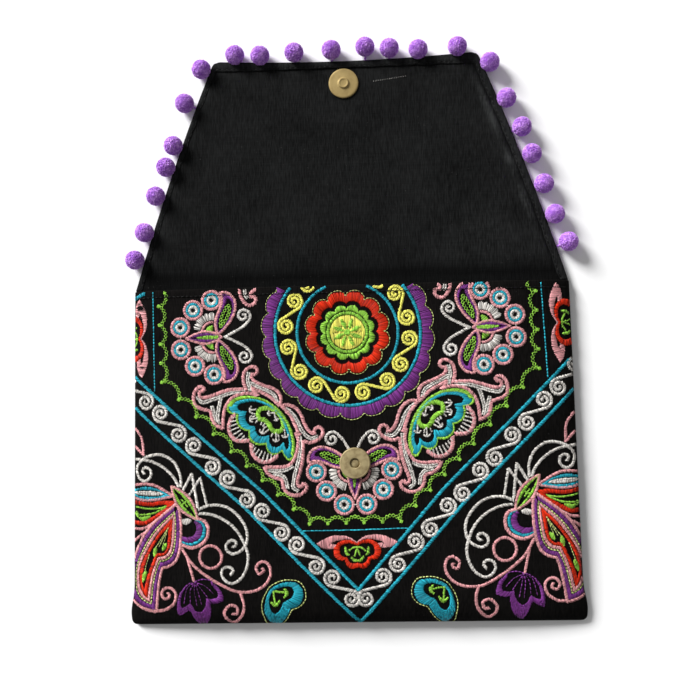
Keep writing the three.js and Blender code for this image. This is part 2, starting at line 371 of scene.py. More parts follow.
def cotton_group():
    """Plain woven cotton: fine ribs, thick slubs, faded patches and lint."""
    tree, given, result = new_group(
        "Slubby Cotton", "Shader",
        [("Dark", "Color", srgb(15, 15, 17)), ("Faded", "Color", srgb(44, 44, 47)),
         ("Lint", "Color", srgb(120, 118, 116)), ("Lint Amount", "Float", 0.3),
         ("Wear", "Float", 1.0)],
        [("Color", "Color"), ("Height", "Float")])
    place = place_on(tree)
    ribs = place_on(tree, Scale=(1.0, 0.14, 0.3))
    weft = place_on(tree, Scale=(0.06, 1.0, 0.3))
    warp_threads = noise(tree, ribs, scale=1500.0, detail=1.0)
    weft_threads = noise(tree, weft, scale=1300.0, detail=1.0)
    slubs = noise(tree, ribs, scale=700.0)
    patches = noise(tree, place, scale=38.0, detail=3.0)
    weave = plus(tree, times(tree, warp_threads, WARP_SHARE), times(tree, weft_threads, 1 - WARP_SHARE))
    fade = times(tree, ramp(tree, patches, low=0.2, high=0.8), PATCH_SHARE)
    thread = times(tree, ramp(tree, weave, low=0.36, high=0.66), WEAVE_SHARE)
    slub = times(tree, ramp(tree, slubs, low=0.4, high=0.7), SLUB_SHARE)
    # The last input scales the faded share: on the lining and hem it carries painted shade and painted
    # highlight as well as how worn the cloth is
    lightening = times(tree, plus(tree, plus(tree, fade, thread), slub), given["Wear"])
    cloth = blend_colour(tree, lightening, given["Dark"], given["Faded"])
    specks = ramp(tree, noise(tree, place, scale=760.0), low=0.70, high=0.78)
    fluff = ramp(tree, noise(tree, place, scale=60.0), low=0.42, high=0.62)
    lint = times(tree, times(tree, specks, fluff), given["Lint Amount"])
    feed(tree, result, {"Color": blend_colour(tree, lint, cloth, given["Lint"]),
                        "Height": plus(tree, weave, times(tree, slubs, SLUB_HEIGHT))})
    return tree


# How much worn patches lighten a thread
THREAD_WORN_SHARE = 0.2


def thread_group():
    """Embroidery thread: each stitch a little lighter or darker than the next, and worn patches."""
    tree, given, result = new_group(
        "Thread Tones", "Shader",
        [("Shade", "Color", (0.5, 0.5, 0.5, 1)), ("Light", "Color", (0.8, 0.8, 0.8, 1))],
        [("Color", "Color"), ("Roughness", "Float")])
    lightening = noise(tree, place_on(tree), scale=55.0)
    share = plus(tree, stored(tree, "tone"), times(tree, lightening, THREAD_WORN_SHARE), clamp=True)
    feed(tree, result, {"Color": blend_colour(tree, share, given["Shade"], given["Light"]),
                        "Roughness": ramp(tree, lightening, low=-0.6, high=1.6)})
    return tree


# How much a pompom's colour owes to its locks, to its mottle and to painted shade in the creases between its
# clumps; the ball and neck under the locks carry no tone and take only the least lock share, as painted shade
LOCK_SHARE = 0.4
LOCK_LEAST = 0.1
MOTTLE_SHARE = 0.6
CREASE_SHADE_SHARE = 0.65


def yarn_group():
    """Clipped yarn: locks mottled from deep to pale, with painted shade in the creases between the clumps."""
    tree, given, result = new_group(
        "Yarn Mottle", "Shader",
        [("Deep", "Color", srgb(100, 45, 140)), ("Pale", "Color", srgb(190, 140, 238))],
        [("Color", "Color")])
    place = place_on(tree)
    mottle = ramp(tree, noise(tree, place, scale=330.0, detail=3.0), low=0.34, high=0.66)
    # Painted shade: darker towards the edges between clumps
    clumps = node(tree, "ShaderNodeTexVoronoi", {"Vector": place, "Scale": 420.0}, feature="DISTANCE_TO_EDGE")
    crease_shade = ramp(tree, clumps.outputs["Distance"], low=0.0, high=0.16)
    lock = plus(tree, times(tree, stored(tree, "tone"), LOCK_SHARE), LOCK_LEAST)
    share = plus(tree, lock, times(tree, mottle, MOTTLE_SHARE), clamp=True)
    share = times(tree, share, plus(tree, times(tree, crease_shade, CREASE_SHADE_SHARE), 1 - CREASE_SHADE_SHARE))
    feed(tree, result, {"Color": blend_colour(tree, share, given["Deep"], given["Pale"])})
    return tree


def metal_group():
    """Worn plating: tarnish in patches and fine scratches."""
    tree, given, result = new_group(
        "Worn Plating", "Shader",
        [("Bright", "Color", srgb(190, 165, 105)),
         ("Tarnish", "Color", srgb(120, 95, 55))],
        [("Color", "Color"), ("Roughness", "Float"), ("Height", "Float")])
    patches = ramp(tree, noise(tree, place_on(tree), scale=330.0, detail=4.0), low=0.42, high=0.72)
    brushed = place_on(tree, Rotation=(0.0, 0.0, 0.6), Scale=(1.0, 0.08, 1.0))
    scratches = noise(tree, brushed, scale=3200.0, detail=1.0)
    feed(tree, result, {"Color": blend_colour(tree, patches, given["Bright"], given["Tarnish"]),
                        "Roughness": ramp(tree, plus(tree, patches, scratches), low=-1.6, high=2.4),
                        "Height": scratches})
    return tree


def shared_group(name, maker):
    return bpy.data.node_groups.get(name) or maker()


def material_with(name, group, given, fixed, bump=None):
    """A Principled material fed by a shared group, made once.

    given goes to the group, where a text names an attribute. fixed goes to the shader.
    bump is (strength, distance)."""
    material = bpy.data.materials.get(name)
    if material:
        return material
    material = bpy.data.materials.new(name)
    material.use_nodes = True
    tree = material.node_tree
    given = {key: stored(tree, value) if isinstance(value, str) else value for key, value in given.items()}
    source = node(tree, "ShaderNodeGroup", given, node_tree=group)
    fixed = {**fixed, "Base Color": source.outputs["Color"]}
    if "Roughness" in source.outputs:
        fixed["Roughness"] = source.outputs["Roughness"]
    if bump:
        relief = node(tree, "ShaderNodeBump", {"Strength": bump[0], "Distance": bump[1],
                                               "Height": source.outputs["Height"]})
        fixed["Normal"] = relief.outputs[0]
    feed(tree, tree.nodes["Principled BSDF"], fixed)
    return material


def outer_cotton():
    """The black cloth of the front, the back and the flap's outside."""
    settings = bpy.context.scene.clutch_cloth
    return material_with("Outer Cotton", shared_group("Slubby Cotton", cotton_group),
                         {"Dark": settings.dark, "Faded": settings.faded, "Lint Amount": 0.1},
                         {"Roughness": 0.95, "Specular IOR Level": 0.04}, bump=(0.5, 0.0004))


def lining_cotton():
    """The black cloth of the lining and the hem, lighter where its stored value is higher; that value holds
    how worn it is together with painted highlights and painted shade.
    """
    settings = bpy.context.scene.clutch_cloth
    return material_with("Lining Cotton", shared_group("Slubby Cotton", cotton_group),
                         {"Dark": settings.dark, "Faded": settings.lining, "Lint Amount": 0.16,
                          "Wear": "wear"},
                         {"Roughness": 0.9, "Specular IOR Level": 0.06}, bump=(0.6, 0.0005))


# Wear of the faces that don't show
REST_WEAR = 0.45


def set_wear_and_shading(piece, top):
    """Stores how worn each point of a closed sheet is, together with its painted highlight and painted shade,
    from a grid of values for its top face.
    """
    values = np.full(len(piece.data.vertices), REST_WEAR, dtype=np.float32)
    values[:top.size] = top.ravel()
    piece.data.attributes.new("wear", "FLOAT", "POINT").data.foreach_set("value", values)


# Embroidery: where its chart lies on the front, and its thread
CHART_AT = (-1.9, 170.6)
CHART_LEAN_X = math.radians(0.8)
CHART_LEAN_Y = math.radians(1.4)
PITCH = 0.42
THREAD_WIDTH = 0.5
THREAD_HEIGHT = 0.34
STITCH_OVERHANG = 0.3
EMBROIDERY_SEED = 7
LONGEST_STITCH = 9.0
KEEP_FROM_EDGE = 0.5
FOLD_BEND = 10.0
FOLD_PARTS = 6

# How a hand sews: how far the ends of stitches stray, how much threads differ in width, how satin stitch
# slants, how far the ends of split stitches are staggered, and the links of chain stitch
HAND_JITTER = 0.13
FINE_JITTER = 0.06
THREAD_SPREAD = (0.7, 1.1)
SATIN_SLANT = 0.5
TAPER_SLANT = 0.4
SPLIT_SHIFT = 0.16
PATCH_SHIFT = 0.7
CHAIN_THREAD = 0.42
CHAIN_LINK = 2.0
CHAIN_OVERLAP = 0.55

# The bar of an anchor: how far its ends and its shoulders hang back, and how far out its shoulders are
BAR_DROOP = 0.75
BAR_SAG = 0.2
BAR_SHOULDER = 0.6

# How high stitches lie that cover others
JUST_OVER = 0.05
OVER = 0.06
ON_TOP = 0.1
HIGH_ON_TOP = 0.25
TOPMOST = 0.3

# Curves: points of a ring and of a spiral's turn, a spiral's middle, and how round lobes and spirals open
RING_POINTS = 49
SPIRAL_POINTS = 26
SPIRAL_HEART = 0.5
SPIRAL_OPENING = 0.85
LOBE_ROUNDNESS = 0.6

# Shade and light of each thread
THREADS = {
    "white": (srgb(122, 118, 113), srgb(244, 239, 232)),
    "pink": (srgb(138, 92, 94), srgb(246, 178, 181)),
    "cyan": (srgb(6, 90, 106), srgb(44, 186, 207)),
    "green": (srgb(68, 108, 30), srgb(168, 230, 84)),
    "purple": (srgb(48, 18, 54), srgb(138, 62, 152)),
    "red": (srgb(112, 14, 2), srgb(234, 54, 18)),
    "yellow": (srgb(184, 178, 68), srgb(255, 250, 124)),
    "pale": (srgb(130, 140, 76), srgb(214, 224, 144)),
    "black": (srgb(2, 2, 2), srgb(6, 6, 6)),
}


def smooth(points, closed=False, corners=(), per=10):
    """A curve through the points, with a corner at each place in corners and at a point given twice."""
    points = [point for place, point in enumerate(points) for _ in range(2 if place in corners else 1)]
    points = np.asarray(points, float)
    count = len(points)
    part = np.linspace(0, 1, per, endpoint=False)[:, None]
    spans = []
    for start in range(count if closed else count - 1):
        before, here, after, next_on = (
            points[(start + shift) % count if closed else min(max(start + shift, 0), count - 1)]
            for shift in (-1, 0, 1, 2))
        if np.allclose(here, after):
            continue
        leave = (after - before) / 2
        arrive = (next_on - here) / 2
        spans.append((2 * part**3 - 3 * part**2 + 1) * here + (part**3 - 2 * part**2 + part) * leave
                     + (3 * part**2 - 2 * part**3) * after + (part**3 - part**2) * arrive)
    spans.append(points[:1] if closed else points[-1:])
    return np.concatenate(spans)


def step_lengths(path):
    return np.linalg.norm(np.diff(path, axis=0), axis=1)


def distances(lengths):
    """How far along a path each of its points lies, from the lengths of its steps."""
    return np.concatenate([[0], np.cumsum(lengths)])


def at_places(path, distance, places):
    """Points at some places along a path."""
    return np.stack([np.interp(places, distance, path[:, axis]) for axis in (0, 1)], axis=-1)


def even(path, count):
    """A path as a number of evenly spaced points."""
    distance = distances(step_lengths(path))
    return at_places(path, distance, np.linspace(0, distance[-1], count))


def along(path, step):
    """Evenly spaced points on a path and the direction at each."""
    points = even(path, max(2, round(distances(step_lengths(path))[-1] / step) + 1))
    return points, unit(np.gradient(points, axis=0))


def beside(heading):
    """Directions a quarter turn to the left."""
    return np.stack([-heading[:, 1], heading[:, 0]], axis=-1)


def arc(centre, radius, first, last, count=24):
    """Points on a circle between two angles in degrees."""
    angle = np.radians(np.linspace(first, last, count))
    return np.asarray(centre) + radius * ways(angle)


def spot(centre, radius, angle):
    """The point of a circle at an angle in degrees."""
    return arc(centre, radius, angle, angle, 1)[0]


def spiral(centre, radius, angle, turns, hand):
    """Points from a spiral's middle out to an angle in radians, turning anticlockwise if hand is 1."""
    part = np.linspace(0, 1, round(SPIRAL_POINTS * turns))
    reach = SPIRAL_HEART + (radius - SPIRAL_HEART) * part**SPIRAL_OPENING
    turn = angle - hand * 2 * math.pi * turns * (1 - part)
    return np.asarray(centre) + reach[:, None] * ways(turn)


def scroll(first, second, radius, turns, hand):
    """An S of two spirals, out of one centre and into the next."""
    first = np.asarray(first, float)
    second = np.asarray(second, float)
    apart = second - first
    lean = math.asin(min(1.0, 2 * radius / np.linalg.norm(apart)))
    heading = math.atan2(apart[1], apart[0]) + hand * lean
    out = spiral(first, radius, heading - hand * math.pi / 2, turns, hand)
    back = spiral(second, radius, heading + hand * math.pi / 2, turns, hand)
    return np.concatenate([out, back[::-1]])


class Needlework:
    """Straight stitches drawn on the chart, kept by thread as two ends, a width and a lift."""

    def __init__(self, seed):
        self.chance = np.random.default_rng(seed)
        self.sewn = {thread: [] for thread in THREADS}
        self.set_at()

    def set_at(self, origin=(0, 0), turn=0.0, side=1, flip=1):
        """Draws what follows round an origin on the chart, turned by degrees. side -1 is the right half."""
        self.origin = origin
        self.turn = math.radians(turn)
        self.side = side
        self.flip = flip

    def place(self, points):
        """Points of the drawing as x and up on the front."""
        a = points[..., 0]
        b = points[..., 1] * self.flip
        x = self.side * (self.origin[0] + a * math.cos(self.turn) - b * math.sin(self.turn))
        y = self.origin[1] + a * math.sin(self.turn) + b * math.cos(self.turn)
        on_x = CHART_AT[0] + x * math.cos(CHART_LEAN_X) - y * math.sin(CHART_LEAN_Y)
        on_up = CHART_AT[1] + x * math.sin(CHART_LEAN_X) + y * math.cos(CHART_LEAN_Y)
        return np.stack([on_x, on_up], axis=-1)

    def sew(self, thread, starts, ends, width=THREAD_WIDTH, lift=0.0, jitter=HAND_JITTER):
        starts = self.place(starts) + self.chance.normal(0, jitter, starts.shape)
        ends = self.place(ends) + self.chance.normal(0, jitter, ends.shape)
        count = len(starts)
        widths = width * self.chance.uniform(*THREAD_SPREAD, count)
        self.sewn[thread].append(np.column_stack([starts, ends, widths, np.full(count, lift)]))

    def line(self, thread, path, width=1.5, lift=0.0):
        """Satin stitch along a path."""
        points, heading = along(path, PITCH)
        reach = (beside(heading) + SATIN_SLANT * heading) * width / 2
        self.sew(thread, points - reach, points + reach, lift=lift)

    def taper(self, thread, path, widths, lift=0.0):
        """Satin stitch whose width runs from the first value to the last."""
        points, heading = along(path, PITCH)
        wide = np.interp(np.linspace(0, 1, len(points)), np.linspace(0, 1, len(widths)), widths)[:, None]
        reach = (beside(heading) + TAPER_SLANT * heading) * wide / 2
        self.sew(thread, points - reach, points + reach, lift=lift)

    def fill(self, thread, rail, other, low=0.0, high=1.0, lift=0.0, pitch=PITCH):
        """Stitches from one rail towards the other, between two shares of the way. Long ones are split."""
        rail = np.asarray(rail, float)
        other = np.asarray(other, float)
        near = rail + (other - rail) * low
        far = rail + (other - rail) * high
        distance = distances(np.maximum(step_lengths(near), step_lengths(far)))
        places = np.arange(pitch / 2, distance[-1], pitch)
        near = at_places(near, distance, places)
        far = at_places(far, distance, places)
        longest = np.linalg.norm(far - near, axis=1).max(initial=0.0)
        parts = max(1, math.ceil(longest / LONGEST_STITCH))
        shift = self.chance.uniform(-SPLIT_SHIFT, SPLIT_SHIFT, (len(places), 1)) if parts > 1 else 0.0
        cuts = [0.0] + [part / parts + shift / parts for part in range(1, parts)] + [1.0]
        for first, last in zip(cuts[:-1], cuts[1:]):
            self.sew(thread, near + (far - near) * first, near + (far - near) * last, lift=lift)

    def patch(self, thread, points, angle):
        """Fills a closed outline with parallel stitches at an angle in degrees."""
        turn = math.radians(angle)
        along_way = np.array([math.cos(turn), math.sin(turn)])
        across_way = np.array([-math.sin(turn), math.cos(turn)])
        points = np.asarray(points, float)
        length = points @ along_way
        height = points @ across_way
        after_length = np.roll(length, -1)
        after_height = np.roll(height, -1)
        starts, ends = [], []
        for row in np.arange(height.min() + PITCH / 2, height.max(), PITCH):
            cut = (height <= row) != (after_height <= row)
            share = (row - height[cut]) / (after_height[cut] - height[cut])
            crossings = np.sort(length[cut] + share * (after_length[cut] - length[cut]))
            for first, last in zip(crossings[::2], crossings[1::2]):
                pieces = max(1, math.ceil((last - first) / LONGEST_STITCH))
                marks = np.linspace(first, last, pieces + 1)
                if pieces > 1:
                    marks[1:-1] += self.chance.uniform(-PATCH_SHIFT, PATCH_SHIFT, pieces - 1)
                for begin, end in zip(marks[:-1], marks[1:]):
                    starts.append(along_way * begin + across_way * row)
                    ends.append(along_way * end + across_way * row)
        if starts:
            self.sew(thread, np.array(starts), np.array(ends))

    def run(self, thread, path, dash, gap, width, lift=0.0):
        """Running stitch along a path."""
        points, heading = along(path, dash + gap)
        self.sew(thread, points - heading * dash / 2, points + heading * dash / 2, width, lift, FINE_JITTER)

    def chain(self, thread, path, width=2.0):
        """Chain stitch: a row of small loops, four stitches each."""
        points, heading = along(path, CHAIN_LINK)
        side = beside(heading) * width / 2
        reach = heading * CHAIN_LINK * CHAIN_OVERLAP
        for sign in (1, -1):
            self.sew(thread, points - reach, points + side * sign, CHAIN_THREAD, jitter=FINE_JITTER)
            self.sew(thread, points + side * sign, points + reach, CHAIN_THREAD, jitter=FINE_JITTER)

    def ring(self, thread, centre, inner, outer, lift=0.0):
        rims = (arc(centre, radius, 0, 360, RING_POINTS) for radius in (outer, inner))
        self.fill(thread, *rims, lift=lift)

    def anchor(self, thread, base, head, spread=1.8, width=0.7):
        """A short stem with a bowed bar across its head."""
        base = np.asarray(base, float)
        head = np.asarray(head, float)
        stem = (head - base) / np.linalg.norm(head - base)
        aside = np.array([-stem[1], stem[0]])
        self.line(thread, np.stack([base, head]), width, lift=ON_TOP)
        back = head - stem * spread * BAR_DROOP
        shoulder = head - stem * BAR_SAG
        half = aside * spread * BAR_SHOULDER
        bar = [back - aside * spread, shoulder - half, head, shoulder + half, back + aside * spread]
        self.line(thread, smooth(bar), width, lift=ON_TOP)


# Motifs. Points are millimetres on the chart, for the left half; the right half mirrors them
# Dashed outlines
DASHES = {"dash": 1.3, "gap": 0.6}

# The medallion's place, its counts and angles, and its radii from the middle out
MEDALLION_AT = (0.6, 0.1)
ROSETTE_PETALS = 8
ROSETTE_TURN = 22
ROSETTE_HEART = (0.2, 1.9)
ROSETTE_FROM = 2.6
ROSETTE_TO = 8.4
DISC_RADIUS = 10.2
PETALS = 12
GREEN_RING = (10.6, 12.3)
GREEN_FOOT = (12.8, 13.0)
GREEN_LOBES = (13.3, 16.4)
RED_FOOT = (16.9, 18.8)
RED_LOBES = (21.3, 24.8)
RED_DASHES = (21.9, 25.3)
BLUE_RINGS = ((28.95, 30.45), (42.0, 43.6))
SCROLL_PAIRS = 8
SCROLL_START = 24.6
SCROLL_HALF_ANGLE = 12.3
SCROLL_CENTRES = 36.2
RIM_LOBES = 22
RIM_START = 262.5
RIM_FOOT = 43.8
RIM = (47.5, 50.7)
RIM_DASHES = (47.9, 51.1)


def scallops(count, start, inner, outer, per=12):
    """A closed line of round lobes between two radii, with a cusp at the start angle in degrees."""
    angle = np.linspace(0, 2 * math.pi, count * per + 1)
    reach = inner + (outer - inner) * np.abs(np.sin(angle * count / 2)) ** LOBE_ROUNDNESS
    turn = angle + math.radians(start)
    return np.asarray(MEDALLION_AT) + reach[:, None] * ways(turn)


def sew_medallion(work):
    """The round medallion at the mouth: rosette, petals, spirals between two rings, scalloped rim."""
    centre = MEDALLION_AT
    work.patch("yellow", arc(centre, DISC_RADIUS, 0, 360, count=60), angle=90)
    for petal in range(ROSETTE_PETALS):
        turn = 360 / ROSETTE_PETALS * petal + ROSETTE_TURN
        petal_ends = np.stack([spot(centre, ROSETTE_FROM, turn), spot(centre, ROSETTE_TO, turn)])
        work.taper("green", petal_ends, widths=(0.9, 2.6, 1.0), lift=HIGH_ON_TOP)
    work.ring("green", centre, *ROSETTE_HEART, lift=HIGH_ON_TOP)
    work.ring("green", centre, *GREEN_RING)
    work.fill("green", scallops(PETALS, 0, *GREEN_LOBES), scallops(PETALS, 0, *GREEN_FOOT))
    work.fill("red", scallops(PETALS, 0, *RED_LOBES), scallops(PETALS, 0, *RED_FOOT))
    work.run("pale", scallops(PETALS, 0, *RED_DASHES), **DASHES, width=0.45, lift=ON_TOP)
    for radii in BLUE_RINGS:
        work.ring("cyan", centre, *radii)
    for pair in range(SCROLL_PAIRS):
        middle = SCROLL_START + 360 / SCROLL_PAIRS * pair
        first = spot(centre, SCROLL_CENTRES, middle - SCROLL_HALF_ANGLE)
        second = spot(centre, SCROLL_CENTRES, middle + SCROLL_HALF_ANGLE)
        work.line("yellow", scroll(first, second, radius=4.9, turns=2.0, hand=-1))
    rim = scallops(RIM_LOBES, RIM_START, *RIM)
    work.fill("purple", rim, arc(centre, RIM_FOOT, RIM_START, RIM_START + 360, len(rim)))
    work.run("pale", scallops(RIM_LOBES, RIM_START, *RIM_DASHES), **DASHES, width=0.45, lift=ON_TOP)


# The chain-stitch frame: start and end of each run, how many scallops it has and how far they bulge in
CHAIN_RUNS = (
    ((-107.6, 28.2), (-111.7, 20.3), 1, 2.6),
    ((-111.7, 20.3), (-111.3, -25.1), 4, 3.7),
    ((-111.3, -25.1), (-71, -67.4), 4, 4.3),
    ((-71, -67.4), (-26.7, -110.7), 5, 4.0),
    ((-26.7, -110.7), (0.2, -110.7), 2.5, 3.5),
)

# The border's two lines, its first scroll, the way to the scroll's end and to the next, and the fine lines
BORDER_LINES = (((-130, -20.0), (-52, -92.8), (0.4, -150)), ((-133, -36.0), (-62.7, -101.9), (0.4, -170)))
BORDER_SCROLL = (-112.7, -43.4)
BORDER_SCROLL_STEP = (19.64, -19.78)
BORDER_SCROLL_WAY = (10.3, -12.8)
SIDE_LINE = ((-115, 28.3), (-116, -29.7))
FOOT_LINE = ((-29.6, -114.7), (0.2, -115))


def sew_border(work):
    """Two lines with white scrolls between them, the chain-stitch frame and the fine lines outside it."""
    for path in BORDER_LINES:
        work.line("cyan", np.array(path), width=1.7)
    for step in range(-1, 6):
        first = np.array(BORDER_SCROLL) + np.array(BORDER_SCROLL_STEP) * step
        path = scroll(first, first + BORDER_SCROLL_WAY, radius=5.1, turns=1.8, hand=1)
        work.line("white", path, width=1.6)
    for start, end, count, bulge in CHAIN_RUNS:
        way = (np.array(end) - start) / count
        inward = np.array([-way[1], way[0]]) / np.linalg.norm(way)
        for number in range(math.ceil(count)):
            part = np.linspace(0, min(1.0, count - number), 20)[:, None]
            swell = bulge * np.abs(np.sin(math.pi * part)) ** LOBE_ROUNDNESS
            work.chain("green", start + way * (number + part) + inward * swell)
            work.ring("green", start + way * number, inner=0.1, outer=0.65)
    work.run("cyan", np.array(SIDE_LINE), dash=1.35, gap=0.5, width=0.85)
    work.run("cyan", np.array(FOOT_LINE), dash=2.2, gap=0.1, width=0.75)


def lens(start, end, half, count=24):
    """A closed almond between two points."""
    start = np.asarray(start, float)
    end = np.asarray(end, float)
    part = np.linspace(0, 1, count)[:, None]
    aside = np.array([start[1] - end[1], end[0] - start[0]]) / np.linalg.norm(end - start)
    bow = aside * half * np.sin(math.pi * part)
    middle = start + (end - start) * part
    return np.concatenate([middle + bow, (middle - bow)[::-1]])


# A small butterfly's upper half: the first number runs to its tail, the second out along its wing
WING = (
    (1.7, 2.1), (-1.9, 5.1), (-5.9, 10.1), (-8.5, 15.9), (-8.5, 21), (-6, 24.9), (-2.7, 26.4), (-0.1, 26.4),
    (-0.9, 21.5), (0.7, 16.3), (2.6, 12.1), (3.6, 7.9), (2.9, 3.6),
)
WING_LEAF = (
    (1.5, 3.4), (-0.4, 5.4), (-3.6, 9.8), (-6.1, 15), (-6.5, 18), (-6.1, 20.6), (-5.5, 21.2), (-4.9, 21.1),
    (-3.5, 18.6), (-0.9, 14.6), (0.8, 11), (1.6, 7.6), (1.9, 4.6),
)
WING_CORNERS = (7,)
BODY = ((0, 0), (4, 2.2), (9.3, 3.6), (15, 2.6), (21.8, 0))
FEELER = ((-1.5, -0.3), (-6.9, 2.4), (-12.9, 5.7), (-16.7, 9.3))
FEELER_CURL = (-13.2, 12.0)
BODY_STRIPE = ((2.1, 0.9), (9, 1.1), (15.2, 0.3))
FAN_AT = (5.5, 2.7)
FAN_SPAN = (14, 98)
FAN_POINTS = 61
FAN_LOBES = 5
FAN_RADIUS = 11.0
FAN_LOBE = 1.2
FAN_FOOT = 7.4
EYES = ((5.5, 22), (16.8, 16.6), (25, 6.6))
EYE_RADIUS = 6.1
EYE_STAR = (1.2, 1.8, 2.4, 1.8)


def sew_eye(work, eye):
    """A round eye: three rings round a dark star."""
    star = arc((0, 0), 1, 0, 360, RING_POINTS) * np.resize(EYE_STAR, RING_POINTS)[:, None]
    work.ring("pink", eye, inner=4.5, outer=EYE_RADIUS)
    work.ring("cyan", eye, inner=2.95, outer=4.4)
    work.fill("white", arc(eye, 2.85, 0, 360, RING_POINTS), np.asarray(eye) + star)


def sew_butterfly(work, origin, turn, side):
    """A small butterfly with a row of eyes round its tail."""
    wing = smooth(WING, True, WING_CORNERS)
    leaf = smooth(WING_LEAF, True, WING_CORNERS)
    middle = leaf.mean(axis=0)
    body = smooth(BODY)
    spine = np.column_stack([body[:, 0], np.zeros(len(body))])
    stripe_spine = np.array(BODY_STRIPE) * (1, 0)
    way = arc((0, 0), 1, *FAN_SPAN, FAN_POINTS)
    lobes = np.abs(np.sin(np.linspace(0, FAN_LOBES * math.pi, FAN_POINTS))) ** LOBE_ROUNDNESS
    fan_edge = (FAN_RADIUS + FAN_LOBE * lobes)[:, None]
    curl_turn = math.atan2(FEELER[-1][1] - FEELER_CURL[1], FEELER[-1][0] - FEELER_CURL[0])
    curl = spiral(FEELER_CURL, radius=4.4, angle=curl_turn, turns=1.4, hand=1)
    for flip in (1, -1):
        work.set_at(origin, turn, side, flip)
        work.fill("white", FAN_AT + way * fan_edge, FAN_AT + way * FAN_FOOT, pitch=0.85)
        work.line("pink", arc(FAN_AT, 6.3, 10, 95), width=1.3)
        work.patch("green", np.concatenate([arc(FAN_AT, 4.3, 8, 95, 12), [FAN_AT]]), angle=45)
        work.fill("purple", wing, leaf, low=0.25, high=0.75)
        work.line("pink", wing, width=1.4, lift=ON_TOP)
        work.chain("green", middle + (leaf - middle) * 0.68, width=1.9)
        work.fill("purple", body, spine, low=0.2, high=0.75)
        work.line("pink", body, width=1.2, lift=ON_TOP)
        work.fill("green", BODY_STRIPE, stripe_spine, lift=ON_TOP)
        work.line("white", np.concatenate([smooth(FEELER)[:-1], curl[::-1]]))
        for eye in EYES:
            sew_eye(work, eye)
        for first, second in zip(EYES, (*EYES[1:], (EYES[-1][0], -EYES[-1][1]))):
            way_on = np.subtract(second, first)
            step = way_on / np.linalg.norm(way_on) * (EYE_RADIUS - 0.4)
            work.sew("white", np.array([first + step]), np.array([second - step]), width=0.4, lift=ON_TOP)


def sew_butterflies(work):
    """The three small butterflies round the medallion."""
    for side in (1, -1):
        sew_butterfly(work, origin=(-73.8, 0.3), turn=180, side=side)
    sew_butterfly(work, origin=(0.7, -75.2), turn=-90, side=1)


# The palmette: its long back, its five lobes, the heart in it and the half-rounds beside it
BACK_OUTER = (
    (-72.6, -40.9), (-70.1, -37.2), (-64.2, -35.2), (-57.6, -35.2), (-51.1, -36.9), (-44.7, -40.8),
    (-39.2, -46.7), (-35.4, -53.7), (-33.6, -60.3), (-33.2, -66.8), (-34.6, -72.8),
)
BACK_INNER = (
    (-66.3, -40.9), (-64.8, -39.5), (-61, -38.6), (-56.1, -38.5), (-50.4, -40.2), (-45.6, -43),
    (-41.7, -47.4), (-38.7, -53.6), (-37.1, -59.3), (-36.5, -63.4), (-37.1, -66.2),
)
LOBES_OUTER = (
    (-72.6, -40.9), (-72.2, -43.3), (-70, -44.8), (-66.7, -45.2), (-67.2, -48.6), (-66, -52.4),
    (-63, -54.8), (-59.9, -55.4), (-60.1, -59.4), (-57.8, -62.7), (-53.9, -64.1), (-50.1, -63.8),
    (-49.7, -67), (-47.5, -69.4), (-44.3, -69.8), (-40.9, -68.1), (-39.4, -71.4), (-37.1, -73.8),
    (-34.6, -72.8),
)
LOBES_INNER = (
    (-66.3, -40.9), (-65.5, -42.8), (-63.6, -43.8), (-60.9, -44.1), (-61.8, -47.9), (-60.3, -51.4),
    (-58.3, -52.6), (-56.2, -53), (-55.8, -56.3), (-54, -58.4), (-51.2, -59), (-48.3, -58.4),
    (-48.2, -62.2), (-46.5, -65.1), (-42.6, -65.4), (-39.9, -62.7), (-39.2, -65.8), (-38, -67.2),
    (-37.1, -66.2),
)
LOBE_CORNERS = (3, 7, 11, 15)
HEART = (
    (-54.2, -46.2), (-53.4, -43.7), (-50.5, -42.6), (-46.4, -42.9), (-42.4, -45.5), (-40, -49.5),
    (-39.6, -53.6), (-41.6, -56.1), (-44.9, -56.2), (-47, -54.1), (-47.8, -52.1), (-50.4, -49.5),
    (-53.2, -48.6),
)
HEART_CORNERS = (10,)
HALF_ROUNDS = (
    ((-67.8, -45.5), (-70.5, -48.5), (-71.8, -53.3), (-70.5, -58.1), (-66.9, -61.1), (-60.3, -61.2)),
    ((-58.8, -62.9), (-58.6, -67.6), (-56.7, -71.3), (-52.7, -73.8), (-47.7, -73.4), (-43.5, -70.3)),
)
LOBE_ANCHORS = (
    ((-55.4, -43), (-59, -43.4)),
    ((-54.8, -48.2), (-59, -48.8)),
    ((-50.5, -53.2), (-52.3, -57)),
    ((-43.9, -57.1), (-44.1, -62.2)),
    ((-38.9, -55.2), (-38.6, -60)),
)
HEART_ANCHORS = (((-44.4, -45.2), (-48.2, -45.8)), ((-44.6, -45.6), (-43.2, -50)))
LOBES_WAY = (-0.6, -0.8)
TASSELS_APART = 2.3
SPOKE_PLACES = 10
SPOKE_SHARE = 0.8


